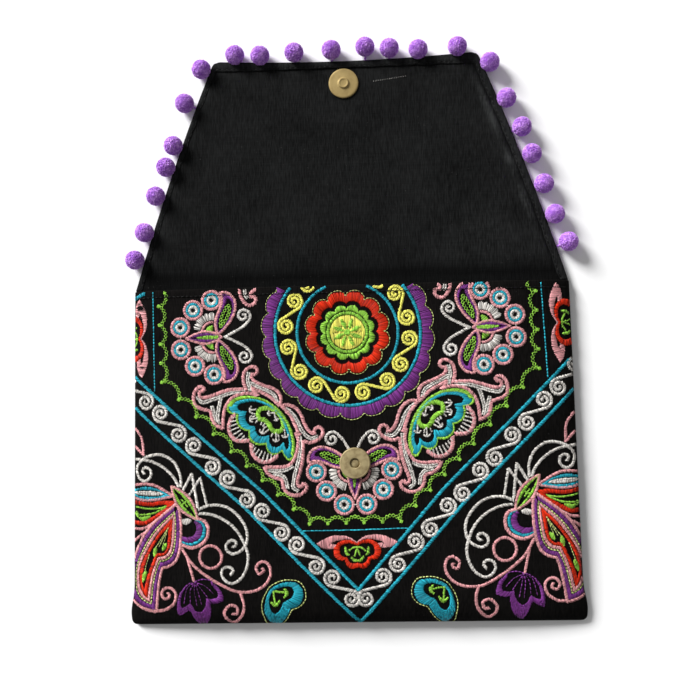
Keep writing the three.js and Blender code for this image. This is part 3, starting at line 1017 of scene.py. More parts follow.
def sew_palmettes(work):
    """The leaf-shaped palmettes on both sides of the lower butterfly."""
    back_outer = smooth(BACK_OUTER)
    back_inner = smooth(BACK_INNER)
    lobes_outer = smooth(LOBES_OUTER, corners=LOBE_CORNERS)
    lobes_inner = smooth(LOBES_INNER, corners=LOBE_CORNERS)
    heart = smooth(HEART, True, HEART_CORNERS)
    rim, heading = along(heart, TASSELS_APART)
    work.fill("green", back_outer, back_inner, high=0.5)
    work.fill("cyan", back_outer, back_inner, low=0.52)
    work.fill("green", lobes_outer, lobes_inner, high=0.2)
    work.fill("cyan", lobes_outer, lobes_inner, low=0.22)
    work.line("green", heart, width=2.6)
    for root, outward in zip(rim, beside(heading)):
        if outward @ LOBES_WAY > 0.3:
            work.line("white", np.stack([root + outward * 1.8, root + outward * 3.5]), width=0.6)
    for half_round in HALF_ROUNDS:
        bow = smooth(half_round)
        work.line("pink", bow, width=2.2)
        spokes = even(bow, SPOKE_PLACES)[1:-1]
        chord = even(np.array([half_round[0], half_round[-1]]), SPOKE_PLACES)[1:-1]
        for spoke, foot in zip(spokes, chord):
            work.line("white", np.stack([spoke, spoke + (foot - spoke) * SPOKE_SHARE]), width=0.6)
    for base, head in LOBE_ANCHORS:
        work.anchor("white", base, head)
    for base, head in HEART_ANCHORS:
        work.anchor("white", base, head, spread=1.3)


# The acanthus leaves round a palmette and at the mouth: each pink edge with its corners, then the pale veins
LEAF_EDGES = (
    (((-86.5, -31.5), (-85.4, -30.1), (-87.1, -28.5), (-90, -29.6), (-91.8, -33), (-92, -37.5),
      (-89.4, -40.9), (-82.8, -43.3), (-81.7, -47.3), (-79.8, -51.2), (-75.2, -53.7), (-75, -48.3),
      (-74, -43), (-72.2, -39.2), (-68.8, -35.6), (-64.1, -33.8), (-59.1, -33.5), (-53.9, -34.9)), (10,)),
    (((-86.2, -30.7), (-88.6, -32.1), (-87.9, -34.9), (-83.3, -34.8), (-77.4, -32.9), (-70.7, -31.1),
      (-60.7, -31)), ()),
    (((-60.6, -31.3), (-61.9, -26.7), (-61.7, -22.6), (-60.1, -19.6), (-56.9, -17.9), (-54.1, -18.7),
      (-53.5, -20.9), (-55.1, -22.6), (-56.5, -21.8)), ()),
    (((-56.5, -22), (-57, -24.6), (-54.4, -27.1), (-49.5, -29.4), (-44.7, -31.1), (-41.5, -33.6),
      (-40.2, -37.3), (-41, -41.5), (-43.9, -38.6), (-46.5, -36.1), (-50.9, -33.5), (-55, -31.5),
      (-57, -30), (-56, -32.6), (-53.9, -34.9)), (7, 12)),
    (((-31, -57.1), (-32.9, -52.2), (-34.7, -48), (-37.4, -44.5), (-39.9, -41.5), (-35.7, -41.1),
      (-31.5, -43.4), (-28.7, -47.4), (-27, -52.4), (-24.7, -56.7), (-21.3, -58.9), (-21.4, -56.2),
      (-18.9, -54.7), (-16.6, -56.4), (-17, -59.6), (-19.9, -62.2), (-24.4, -63.6), (-28.3, -62.5)),
     (4, 10)),
    (((-28.3, -62.5), (-28.5, -68.5), (-29.1, -74.2), (-30.9, -80.6), (-32.5, -85.4), (-32.2, -88.2),
      (-30.4, -89.1), (-29.1, -87.3), (-27.3, -89.2), (-28.9, -92.1), (-33.1, -93.9), (-37.9, -92.9),
      (-40.9, -89.3), (-41.8, -84.8), (-46.1, -83.2), (-49.7, -80.7), (-51.7, -77), (-41.6, -77.2),
      (-36.4, -76), (-33.4, -71.6), (-31.6, -66.8), (-31.1, -61.9), (-32.4, -57.2), (-29.9, -58.9)),
     (6, 16, 22)),
    (((-62.2, 28.4), (-62, 26), (-61.6, 23.7), (-60.1, 21), (-58.3, 19), (-56.5, 18.4), (-54.2, 19),
      (-52.8, 20.6), (-52.9, 22.5), (-54.1, 23.5), (-55.8, 23.4)), ()),
    (((-51.5, 28.4), (-53.8, 27), (-55.5, 25.6), (-56.1, 24.1)), ()),
)
LEAF_VEINS = (
    ((-89.8, -34.3), (-87.4, -37.7), (-82.5, -37), (-75.8, -34.8), (-69.1, -32.8), (-61.6, -32.2)),
    ((-75.8, -36), (-77.5, -42.5), (-78.2, -47.4), (-77.2, -50.7)),
    ((-81.4, -40.3), (-80.1, -45.7), (-78.8, -49.4)),
    ((-58.5, -21.3), (-59.4, -26), (-58.5, -29.7), (-58.3, -32.2)),
    ((-58.1, -27.3), (-53.2, -29.9), (-48.4, -32.1), (-44.2, -34.9), (-42.6, -39.2)),
    ((-37.8, -43.2), (-34.6, -45.6), (-31.5, -49.8), (-29.5, -54.7), (-26.8, -58.9), (-23.5, -61.2),
     (-19.8, -60.1)),
    ((-30, -60), (-29.8, -65.2), (-30.9, -71.7), (-32.8, -78.1), (-34.4, -83.7), (-35.2, -88.9),
     (-32.6, -91.4)),
    ((-49.4, -78.8), (-43.9, -79.5), (-39, -78.9), (-34.9, -76.9)),
    ((-46.8, -80.9), (-42, -82), (-39.4, -84.8), (-38.5, -89.6)),
    ((-59, 28), (-58.9, 25.9), (-58.8, 24.4), (-57.6, 22.8)),
)
VEIN_APART = 0.6


def sew_acanthus(work):
    """Pink scrolling leaves with pale veins."""
    for vein in LEAF_VEINS:
        points, heading = along(smooth(vein), PITCH)
        for sign in (1, -1):
            work.line("white", points + beside(heading) * VEIN_APART * sign, width=0.75)
    for edge, corners in LEAF_EDGES:
        work.line("pink", smooth(edge, corners=corners), width=1.9, lift=OVER)


# The corner butterfly's lines: thread, width and points
CORNER_LINES = (
    ("white", 1.5, ((-100.7, -89.1), (-95, -79.4), (-95, -79.4), (-92.2, -99.5))),
    ("white", 1.3, ((-97.1, -92.2), (-90, -82.2), (-90, -82.2), (-86.9, -97.8))),
    ("white", 1.5,
     ((-101.9, -87.3), (-102.2, -80.1), (-105.6, -72.8), (-111.8, -68.5), (-118.1, -68), (-124.8, -70.4),
      (-129.3, -75.6), (-128, -81.3), (-124.3, -83.4), (-120.6, -81), (-120.4, -77.1), (-123.3, -75.4),
      (-125.7, -77), (-124.5, -79.2))),
    ("white", 1.5,
     ((-103.4, -87.3), (-106, -81.8), (-111.4, -76.3), (-117.7, -72.6), (-123.5, -71), (-133, -70))),
    ("white", 1.5,
     ((-91.9, -100.7), (-86.9, -98.7), (-80.8, -98.3), (-74.2, -100.2), (-68.9, -104.5), (-64.9, -110.3),
      (-63.4, -116.2), (-64.5, -121.5), (-67.3, -125), (-72.3, -127), (-75.8, -124.8), (-76, -121.3),
      (-73.1, -119), (-70.2, -120.2), (-70.9, -122.6), (-72.7, -122.5))),
    ("white", 1.5,
     ((-91.7, -103.1), (-85.9, -103.5), (-79.3, -105.7), (-72.8, -110.1), (-68.2, -115.5), (-65.4, -121.5),
      (-63.6, -128.1), (-64.5, -134.6), (-67.5, -140.5), (-72.5, -144), (-76.7, -143.3), (-79.5, -139.6),
      (-78.7, -135.5), (-75, -134.6), (-72.7, -136.8), (-74.6, -139.1))),
    ("pink", 1.5, ((-134.5, -86.2), (-124, -85.1), (-116.9, -86.6), (-107.9, -91.7))),
    ("pink", 1.4, ((-134.5, -92.4), (-127, -94.4), (-119.5, -94.6), (-113, -93.6), (-107.7, -92.6))),
    ("pink", 1.5,
     ((-133.5, -111.3), (-127.9, -111.6), (-122.7, -109.9), (-116.8, -105.8), (-110.5, -101.1),
      (-105.7, -97.4))),
    ("pink", 1.5, ((-133.4, -119.4), (-128.8, -115.9), (-124.4, -113.4), (-122.7, -111.3))),
    ("green", 0.8, ((-131, -98.6), (-122.3, -99.8), (-115.3, -99.4), (-111.4, -98.4))),
    ("green", 0.8, ((-128.3, -103.4), (-121.1, -102.8), (-115.4, -100.8), (-112.2, -99.2))),
    ("pink", 1.5,
     ((-102.9, -122.9), (-98, -131), (-91.6, -137.3), (-82.7, -143.5), (-73.9, -148.2), (-68, -149.5),
      (-60.1, -148.7), (-53.9, -145), (-50.8, -139), (-51.8, -133.7), (-55.3, -131.8), (-59, -134.7),
      (-57.7, -138.9), (-54.7, -137.2), (-55.8, -135.7))),
    ("pink", 1.4, ((-99.8, -128.6), (-98.2, -135.1), (-96.3, -142.7))),
    ("pink", 1.5,
     ((-69.2, -149.8), (-67.6, -156.9), (-69.1, -163.2), (-74, -168), (-78.5, -165.7), (-79.5, -161.1),
      (-75.8, -157.3), (-71.6, -158.7), (-72.3, -162.5), (-75, -162.4))),
    ("pink", 1.5,
     ((-120, -160), (-114.6, -159.3), (-109.3, -155.6), (-107.7, -150.1), (-110, -146.8), (-113.7, -146.4),
      (-116.4, -149.5), (-114.7, -152.8), (-111.5, -151.3), (-112.6, -149.2))),
    ("pink", 1.4,
     ((-132, -50.1), (-125.7, -57.3), (-124.4, -68.3), (-124.4, -68.3), (-127.4, -65.2), (-132.1, -61.1))),
    ("cyan", 2.0, ((-127, 25.6), (-123.6, 27.2), (-120.4, 28.4))),
)
BODY_ENDS = ((-107.7, -86.6), (-92.7, -106.6))
BODY_HALF = 4.2
BODY_MARKS = ((1.0, 0.6), (-1.6, 2.1))
UPPER_EYE = (
    (-134, -89.9), (-129, -87.7), (-122.8, -86.9), (-115.7, -88.6), (-108.6, -92.3), (-108.6, -92.3),
    (-115.9, -94.2), (-123, -94.6), (-129.1, -93.4),
)
UPPER_EYE_SPINE = ((-129.8, -90.4), (-114.8, -90.8))
RED_OUTER = (
    (-133.2, -94.4), (-127.3, -95.5), (-120.9, -96.1), (-113.3, -95), (-105.7, -95.5), (-111.1, -101.2),
    (-116.2, -104.6), (-122, -108), (-126.5, -109.4), (-133.4, -109.1),
)
RED_INNER = (
    (-133.3, -97), (-127.4, -97.7), (-120.9, -98.2), (-114, -97.3), (-110.2, -97.8), (-113.9, -100.6),
    (-118, -103.2), (-122.9, -105.9), (-127.1, -107.1), (-133.3, -106.6),
)
RED_CORNERS = (4,)
BIG_WING = (
    (-105.7, -97.7), (-112.7, -102.6), (-119.4, -108.1), (-125.1, -114.3), (-129.3, -121.2), (-133, -128.6),
    (-135.5, -136.3), (-136.3, -144.6), (-135.4, -152.7), (-130.6, -157.3), (-125.1, -159.6),
    (-120.3, -160.5), (-118.9, -150.5), (-117.2, -141), (-115.4, -134.8), (-110.8, -133.4),
    (-107.1, -130.8), (-104.7, -125.8), (-103.5, -119.4), (-102.9, -110.6), (-103.3, -102.4),
    (-104.3, -98.9),
)
BIG_WING_HEART = (
    (-107.7, -105.4), (-111.4, -108.8), (-115.9, -113.4), (-119.8, -118.4), (-123.5, -123.7),
    (-126.6, -128.7), (-128.8, -133.5), (-129.8, -139.5), (-129.6, -144.8), (-128.2, -148.9),
    (-126.7, -151.2), (-125.7, -152.1), (-124.3, -145.2), (-122.2, -137.5), (-118, -127.8),
    (-114.3, -127.2), (-111.7, -125.2), (-110.2, -122.2), (-109.4, -118.7), (-108.8, -114.1),
    (-108.2, -109.4), (-107.9, -106.5),
)
BIG_WING_HOLE = (
    (-110.4, -110.5), (-112.8, -112.6), (-115.7, -115.5), (-118.6, -119.3), (-121.8, -124),
    (-124.3, -128.4), (-126.3, -132.9), (-127.8, -138.2), (-128.4, -142.4), (-128.1, -145),
    (-127.6, -146.8), (-126.9, -147.3), (-126.1, -143.5), (-124.3, -138.1), (-119, -126), (-114.8, -126),
    (-112.7, -124.3), (-111.6, -121.9), (-111.2, -118.7), (-110.8, -115.8), (-110.6, -113.2),
    (-110.4, -111.1),
)
BIG_WING_CORNERS = (11, 14)
WING_SPRIGS = (
    ((-110.9, -111.4), (-119.4, -123.4)),
    ((-110.9, -111.4), (-116.5, -121.6)),
    ((-110.9, -111.4), (-114, -120.2)),
    ((-123.3, -127.2), (-126.6, -137)),
)
WING_BUDS = (
    ((-118.6, -122.8), (-119.5, -125.4), (-120, -127.8)),
    ((-112, -120.6), (-113.7, -122.2), (-114.8, -124.3)),
    ((-125.4, -136.8), (-127, -139.6), (-127.9, -142.9)),
    ((-128.6, -104.8), (-125.8, -105.8), (-121.6, -104.2)),
    ((-133.2, -101.4), (-130.8, -102.4), (-129.7, -104.6)),
)
SMALL_WING = (
    (-93.5, -106), (-88.9, -107.4), (-86.6, -111.5), (-87.5, -117.3), (-91.6, -121.3), (-97.3, -122.9),
    (-103.3, -120.7),
)
SMALL_WING_HOLE = (
    (-94.9, -107.9), (-93.7, -110.2), (-93.8, -113.1), (-95.3, -115.7), (-97.7, -116.7), (-100.1, -116.8),
    (-102.5, -116.3),
)
SMALL_WING_FLECK = ((-102.4, -107.2), (-99.8, -107.6), (-96.6, -107.3))
RING_AT = (-85.7, -128.5)
LOTUS_OUTER = (
    (-102.4, -146.4), (-104.8, -149), (-106.5, -152.6), (-107.4, -156.8), (-107.4, -160.8),
    (-106.4, -162.9), (-102.9, -161.2), (-100.2, -159.4), (-98.8, -162.2), (-97.2, -166), (-95.3, -168.7),
    (-93.7, -169.9), (-90.5, -168), (-88.5, -164.6), (-87.6, -160.5), (-87.4, -155.9), (-83.9, -156.1),
    (-79.4, -154.5), (-79.5, -151.8), (-80.6, -148.5), (-82.8, -145.6), (-86, -142.9),
)
LOTUS_INNER = (
    (-102.4, -147.3), (-104, -149.9), (-104.9, -153.2), (-105.3, -155.9), (-105.2, -157.8),
    (-104.6, -158.5), (-102.3, -157.7), (-99.4, -155.7), (-98.1, -158.5), (-96.8, -160.5), (-94.8, -161.4),
    (-93.3, -161.1), (-91.8, -159.9), (-90.6, -158), (-89.9, -155.5), (-89.6, -152.8), (-86.3, -153.3),
    (-83.3, -152.6), (-82.6, -151.1), (-82.9, -148.7), (-84.2, -146.9), (-85.8, -144.8),
)
LOTUS_CORNERS = (7, 15, 17)
LOTUS_TOP = (
    (-102.4, -146.4), (-99.5, -144), (-95.7, -142.6), (-91.6, -141.5), (-87.7, -141.8), (-85.7, -142.9),
)
LOTUS_HEART = (-95.7, -143.2)
LOTUS_RIBS = (
    ((-100.6, -146.4), (-103, -155)),
    ((-98.8, -147.6), (-99.3, -154.2)),
    ((-96.5, -148.2), (-95.5, -156.4)),
    ((-94.6, -147.7), (-92.8, -155.8)),
    ((-92.5, -147.1), (-89.3, -151.6)),
    ((-90, -145.4), (-85.7, -149.6)),
)


def towards_spine(path, spine):
    """For each point of a path, the nearest point of a straight spine."""
    start, end = np.asarray(spine, float)
    way = end - start
    share = clamp01((path - start) @ way / (way @ way))
    return start + share[:, None] * way


def sew_big_wing(work):
    """The corner butterfly's long wing: bands round a dark heart with dashed sprigs, and green buds."""
    wing, heart, hole = (smooth(points, corners=BIG_WING_CORNERS)
                         for points in (BIG_WING, BIG_WING_HEART, BIG_WING_HOLE))
    work.line("pink", wing, lift=OVER)
    work.fill("purple", wing, heart, low=0.14, high=0.46)
    work.run("pale", wing + (heart - wing) * 0.57, **DASHES, width=0.9)
    work.fill("pink", wing, heart, low=0.68, high=0.92)
    work.fill("red", heart, hole)
    for sprig in WING_SPRIGS:
        work.run("pale", np.array(sprig), dash=1.2, gap=0.5, width=0.55)
    for bud in WING_BUDS:
        work.taper("green", smooth(bud), widths=(1.4, 2.8, 0.8), lift=ON_TOP)


def sew_lotus(work):
    """The purple lotus on a stem, with dashed ribs in its dark heart."""
    outer = smooth(LOTUS_OUTER, corners=LOTUS_CORNERS)
    inner = smooth(LOTUS_INNER, corners=LOTUS_CORNERS)
    work.fill("purple", outer, inner)
    work.run("purple", smooth(LOTUS_TOP), dash=1.4, gap=0.6, width=0.7)
    for rib in LOTUS_RIBS:
        work.run("purple", smooth((LOTUS_HEART, *rib)), dash=1.5, gap=0.7, width=0.55)


def sew_corners(work):
    """The large butterflies in the lower corners, with their curling feelers, stems and lotus."""
    red_outer = smooth(RED_OUTER, corners=RED_CORNERS)
    red_inner = smooth(RED_INNER, corners=RED_CORNERS)
    upper_eye = smooth(UPPER_EYE, True)
    eye_spine = towards_spine(upper_eye, UPPER_EYE_SPINE)
    small_wing = smooth(SMALL_WING)
    small_hole = smooth(SMALL_WING_HOLE)
    body = lens(*BODY_ENDS, BODY_HALF)
    body_spine = towards_spine(body, BODY_ENDS)
    middle = np.mean(BODY_ENDS, axis=0)
    work.fill("red", red_outer, red_inner)
    for thread, width, points in CORNER_LINES:
        work.line(thread, smooth(points), width, lift=JUST_OVER)
    work.fill("cyan", upper_eye, eye_spine, high=0.48)
    work.fill("white", upper_eye, eye_spine, low=0.66)
    sew_big_wing(work)
    work.line("pink", small_wing, width=1.8)
    work.fill("cyan", small_wing, small_hole, low=0.2, high=0.43)
    work.fill("purple", small_wing, small_hole, low=0.46)
    work.taper("white", smooth(SMALL_WING_FLECK), widths=(2.2, 4.0, 1.4))
    work.line("pink", np.concatenate([body, body[:1]]), width=1.4, lift=OVER)
    work.fill("green", body, body_spine, low=0.25, high=0.62)
    for mark in BODY_MARKS:
        work.line("green", np.stack([np.subtract(middle, mark), np.add(middle, mark)]), width=0.7)
    work.ring("pink", RING_AT, inner=5.85, outer=7.35)
    sew_lotus(work)


# The heart-shaped bean near the bottom fold, and the two buds in it
BEAN_DASHES = (
    (-44.3, -143.2), (-39.6, -142.9), (-35, -143.7), (-31.9, -146.9), (-30.8, -151.3), (-31.6, -155.5),
    (-34.7, -158.8), (-39.9, -161), (-41.3, -164), (-44.1, -168), (-47.5, -170.9), (-51.1, -171.3),
    (-54.7, -170.3), (-56.2, -165.3), (-57.2, -159.8), (-56.2, -154.3), (-53.8, -149.6), (-50.6, -145.7),
)
BEAN_OUTER = (
    (-45, -144.8), (-40, -144.2), (-35.6, -145), (-33, -148), (-32.2, -151.9), (-33.4, -156.1),
    (-36.2, -158.9), (-40.4, -159.9), (-42.2, -163.6), (-45.6, -168), (-49.3, -170.8), (-52.3, -168.9),
    (-54.5, -165.3), (-55.5, -160.8), (-54.8, -156.2), (-53.3, -151.4), (-50.3, -147.3),
)
BEAN_INNER = (
    (-44.5, -146.9), (-41.3, -146.5), (-38.8, -147.3), (-37.8, -149.3), (-37.9, -151.2), (-39.3, -153.2),
    (-41.8, -155), (-44.2, -156.3), (-45.4, -159.2), (-47, -161.6), (-49.3, -163.2), (-51.2, -162.5),
    (-52.4, -160.2), (-52.8, -157.1), (-52.5, -153.8), (-51.3, -150.6), (-48.7, -148.4),
)
BEAN_CORNERS = (7,)
BEAN_STALK = (-49.7, -149.2)
BEAN_BUDS = (
    ((-43.3, -147.9), (-41.6, -150.4), (-43.6, -153.2)),
    ((-51.4, -155.6), (-48.9, -157.7), (-46.2, -154.9)),
)


def sew_beans(work):
    """Two cyan beans with a dashed outline and a green sprig in each."""
    outer, inner, dashes = (smooth(points, True, BEAN_CORNERS)
                            for points in (BEAN_OUTER, BEAN_INNER, BEAN_DASHES))
    work.fill("cyan", outer, inner)
    work.run("pale", dashes, dash=1.4, gap=0.6, width=0.6)
    for bud in BEAN_BUDS:
        work.taper("green", smooth(bud), widths=(0.7, 2.1, 0.7), lift=ON_TOP)
        work.line("green", np.array([BEAN_STALK, bud[1]]), width=0.9)


# Half of the cloud flower, from the notch in its top
LEAF_TOP = (
    (0, 0), (-3.5, 2.6), (-6.9, 3.8), (-10.6, 4.3), (-14.4, 4), (-17.7, 3), (-21, 1.3), (-23.3, -0.2),
)
LEAF_LOW = (
    (0, -0.3), (-3.5, 1.6), (-6.9, 1.9), (-10.6, 1.3), (-14.8, 0), (-17, -3.2), (-20.6, -2.6),
    (-23.3, -0.2),
)
LEAF_HEEL = ((-15, -0.5), (-12.4, -1), (-13.6, -3.3), (-17.2, -3.4))
CLOUD_OUTER = (
    (0, -0.6), (-3.1, 1.1), (-6.9, 1.5), (-10.2, 0.4), (-12.7, -1.7), (-13.8, -4.7), (-12.8, -8.4),
    (-9.9, -10.1), (-7.5, -9.6), (-6.6, -12.8), (-3.8, -15.2), (0.2, -14.3),
)
CLOUD_INNER = (
    (0, -1.9), (-3.1, -0.6), (-6.9, -0.6), (-9, -1.5), (-10, -3), (-10.3, -4.8), (-9.6, -7), (-8, -8.2),
    (-6.3, -8.5), (-5, -11), (-2.7, -12.3), (0.2, -11.9),
)
CLOUD_CORNERS = (8,)
CLOUD_BUDS = (((-6.7, -2.8), (-6.3, -6), (-5, -7.2)), ((-3.5, -8.5), (-1.8, -10.4), (0.2, -10.6)))
CLOUD_STALK = ((0, -2.7), (-2.5, -3.2), (-4.9, -4.8))
CLOUD_RAY = ((0, -3.2), (-1.6, -7.9))

# Where each cloud flower stands, how far it is turned, and its side
FLOWERS = (((0.4, -122.1), 0, 1), ((-123.6, 1.5), -90, 1), ((-123.6, 1.5), -90, -1))


def sew_flowers(work):
    """The red cloud flower under the frame, and its like at both side seams."""
    for origin, turn, side in FLOWERS:
        work.set_at(origin, turn, side)
        for flip in (1, -1):
            mirror = np.array([flip, 1])
            work.fill("pink", smooth(LEAF_TOP) * mirror, smooth(LEAF_LOW) * mirror)
            work.patch("pink", np.array(LEAF_HEEL) * mirror, angle=70)
            cloud_outer = smooth(CLOUD_OUTER, corners=CLOUD_CORNERS) * mirror
            cloud_inner = smooth(CLOUD_INNER, corners=CLOUD_CORNERS) * mirror
            work.fill("red", cloud_outer, cloud_inner, lift=ON_TOP)
            for bud in CLOUD_BUDS:
                work.taper("green", smooth(bud) * mirror, widths=(0.9, 1.7, 0.9))
            work.line("green", smooth(CLOUD_STALK) * mirror, width=0.8)
            work.line("green", np.array(CLOUD_RAY) * mirror, width=0.6)


MOUTH_ROW = ((-126, 25.8), (128, 22.2))


def sew_mouth(work):
    """A row of dark topstitching along the mouth, over the embroidery."""
    work.run("black", np.array(MOUTH_ROW), dash=2.2, gap=0.5, width=0.5, lift=TOPMOST)


# The motifs in the order of sewing, each with the halves of the chart that it is sewn on
BOTH = (1, -1)
MOTIFS = (
    (sew_medallion, (1,)), (sew_border, BOTH), (sew_butterflies, (1,)), (sew_palmettes, BOTH),
    (sew_acanthus, BOTH), (sew_corners, BOTH), (sew_beans, BOTH), (sew_flowers, (1,)), (sew_mouth, (1,)),
)


# Geometry Nodes
def named(tree, name, kind):
    made = node(tree, "GeometryNodeInputNamedAttribute", {"Name": name}, data_type=kind)
    return made.outputs["Attribute"]


def by_chance(tree, seed, low, high):
    """A chance number for each point or instance."""
    made = node(tree, "FunctionNodeRandomValue", {2: low, 3: high, "Seed": seed}, data_type="FLOAT")
    return made.outputs[1]


def laid_on(tree, points, shape, rotation, size, seed):
    """A shape laid on each point with a chance tone from 0 to 1, its instances realised."""
    size = node(tree, "ShaderNodeCombineXYZ", size).outputs[0]
    laid = node(tree, "GeometryNodeInstanceOnPoints",
                {"Points": points, "Instance": shape, "Rotation": rotation, "Scale": size})
    toned = node(tree, "GeometryNodeStoreNamedAttribute",
                 {"Geometry": laid.outputs[0], "Name": "tone", "Value": by_chance(tree, seed, 0.0, 1.0)},
                 data_type="FLOAT", domain="INSTANCE")
    return node(tree, "GeometryNodeRealizeInstances", {"Geometry": toned.outputs[0]}).outputs[0]


def painted(tree, geometry, given, result):
    """Ends a group: sets the material and gives the geometry out."""
    made = node(tree, "GeometryNodeSetMaterial",
                {"Geometry": geometry, "Material": given["Material"]})
    tree.links.new(made.outputs[0], result.inputs["Geometry"])
    return tree


# How much lower or higher than its group's height or length a stitch or a lock can be, and how far a lock
# leans and turns, in radians
STITCH_CHANCE = (0.4, 1.5)
LOCK_CHANCE = (0.6, 1.15)
LOCK_LEAN = 0.45
LOCK_TURN = 6.28


def stitch_group():
    """Lays one stitch on each point, along its span, with its own width."""
    tree, given, result = new_group(
        "Lay Stitches", "Geometry",
        [("Geometry", "Geometry"), ("Stitch", "Object"), ("Height", "Float"), ("Seed", "Int"),
         ("Material", "Material")],
        [("Geometry", "Geometry")])
    stitch = node(tree, "GeometryNodeObjectInfo", {"Object": given["Stitch"]}).outputs["Geometry"]
    upright = node(tree, "FunctionNodeAlignRotationToVector",
                   {"Vector": named(tree, "up", "FLOAT_VECTOR")}, axis="Z")
    turned_on = node(tree, "FunctionNodeAlignRotationToVector",
                     {"Rotation": upright.outputs[0], "Vector": named(tree, "span", "FLOAT_VECTOR")},
                     axis="X", pivot_axis="Z")
    seed = given["Seed"]
    height = times(tree, given["Height"], by_chance(tree, seed, *STITCH_CHANCE))
    size = {"X": named(tree, "reach", "FLOAT"), "Y": named(tree, "thread", "FLOAT"), "Z": height}
    stitches = laid_on(tree, given["Geometry"], stitch, turned_on.outputs[0], size, seed)
    return painted(tree, stitches, given, result)


def grown(piece, tree, values):
    """Runs a Geometry Nodes group on a piece and leaves the result as its plain mesh."""
    modifier = piece.modifiers.new(tree.name, "NODES")
    modifier.node_group = tree
    for item in tree.interface.items_tree:
        if item.item_type == "SOCKET" and item.in_out == "INPUT" and item.name in values:
            modifier[item.identifier] = values[item.name]
    bpy.context.view_layer.update()
    shown = piece.evaluated_get(bpy.context.evaluated_depsgraph_get())
    mesh = bpy.data.meshes.new_from_object(shown)
    points = piece.data
    piece.modifiers.remove(modifier)
    piece.data = mesh
    bpy.data.meshes.remove(points)
    mesh.name = piece.name
    mesh.polygons.foreach_set("use_smooth", [True] * len(mesh.polygons))
    return piece


def stitch_shape():
    """A short three-sided thread that dips at both ends, one unit long, wide and high."""
    middle = ((0.5, -0.15), (0.0, 0.5), (-0.5, -0.15))
    sides = len(middle)
    points = [(-0.5, 0.0, -0.2)]
    points += [(x, y, z) for x in (-0.4, 0.4) for y, z in middle]
    points.append((0.5, 0.0, -0.2))
    last = len(points) - 1
    faces = []
    for corner in range(sides):
        after = (corner + 1) % sides
        faces.append([0, 1 + after, 1 + corner])
        faces.append([1 + corner, 1 + after, 1 + sides + after, 1 + sides + corner])
        faces.append([last, 1 + sides + corner, 1 + sides + after])
    return bare_mesh("stitch_shape", points, faces)


def sew_on(name, first, last, widths, up, shape, thread, seed):
    """Stitches from first to last points, in the row frame, as one piece of the bag."""
    span = last - first
    length = np.linalg.norm(span, axis=1)
    piece = bare_mesh(name, (first + last) / 2, [])
    fields = (("span", "FLOAT_VECTOR", "vector", span / np.maximum(length, 1e-9)[:, None]),
              ("up", "FLOAT_VECTOR", "vector", up),
              ("reach", "FLOAT", "value", length + STITCH_OVERHANG * MM),
              ("thread", "FLOAT", "value", widths))
    for key, kind, field, values in fields:
        layer = piece.data.attributes.new(key, kind, "POINT")
        layer.data.foreach_set(field, np.ascontiguousarray(values, dtype=np.float32).ravel())
    grown(piece, shared_group("Lay Stitches", stitch_group),
          {"Stitch": shape, "Height": THREAD_HEIGHT * MM, "Seed": seed, "Material": thread_material(thread)})
    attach(piece, "root")
    return piece


def lock_group():
    """Grows short locks of yarn all over a ball."""
    tree, given, result = new_group(
        "Grow Locks", "Geometry",
        [("Geometry", "Geometry"), ("Lock", "Object"), ("Density", "Float"), ("Length", "Float"),
         ("Width", "Float"), ("Seed", "Int"), ("Material", "Material")],
        [("Geometry", "Geometry")])
    lock = node(tree, "GeometryNodeObjectInfo", {"Object": given["Lock"]}).outputs["Geometry"]
    seed = given["Seed"]
    spots = node(tree, "GeometryNodeDistributePointsOnFaces",
                 {"Mesh": given["Geometry"], "Density": given["Density"], "Seed": seed})
    lean = node(tree, "FunctionNodeRandomValue",
                {0: (-LOCK_LEAN, -LOCK_LEAN, 0.0), 1: (LOCK_LEAN, LOCK_LEAN, LOCK_TURN), "Seed": seed},
                data_type="FLOAT_VECTOR")
    as_turn = node(tree, "FunctionNodeEulerToRotation", {"Euler": lean.outputs[0]})
    leaning = node(tree, "FunctionNodeRotateRotation",
                   {"Rotation": spots.outputs["Rotation"], "Rotate By": as_turn.outputs[0]},
                   rotation_space="LOCAL")
    length = times(tree, given["Length"], by_chance(tree, seed, *LOCK_CHANCE))
    size = {"X": given["Width"], "Y": given["Width"], "Z": length}
    locks = laid_on(tree, spots.outputs["Points"], lock, leaning.outputs[0], size, seed)
    # The ball and its neck carry no tone, so the yarn material paints them at the low end: painted shade
    # under the locks
    whole = node(tree, "GeometryNodeJoinGeometry", {"Geometry": locks})
    tree.links.new(given["Geometry"], whole.inputs["Geometry"])
    return painted(tree, whole.outputs[0], given, result)


def lock_shape():
    """A three-sided lock of yarn, thickest above its middle, one unit long and wide."""
    sides = 3
    points = []
    for height, radius in ((0.0, 0.45), (0.6, 0.62), (1.0, 0.36)):
        for corner in range(sides):
            turn = corner * 2 * math.pi / sides
            points.append((radius * math.cos(turn), radius * math.sin(turn), height))
    faces = [[2, 1, 0], [6, 7, 8]]
    for ring in (0, sides):
        for corner in range(sides):
            after = (corner + 1) % sides
            faces.append([ring + corner, ring + after, ring + sides + after, ring + sides + corner])
    return bare_mesh("lock_shape", points, faces)


def ball(centre, radius):
    """Points and faces of a round ball."""
    turn = full_turn(BALL_SIDES)
    points = [np.array([centre - (0, 0, radius)])]
    for tilt in np.linspace(-math.pi / 2, math.pi / 2, BALL_RINGS + 2)[1:-1]:
        ring = np.stack([np.cos(turn) * math.cos(tilt), np.sin(turn) * math.cos(tilt),
                         np.full(BALL_SIDES, math.sin(tilt))], axis=-1)
        points.append(centre + ring * radius)
    points.append(np.array([centre + (0, 0, radius)]))
    return np.concatenate(points), lathe_faces(BALL_RINGS, BALL_SIDES)


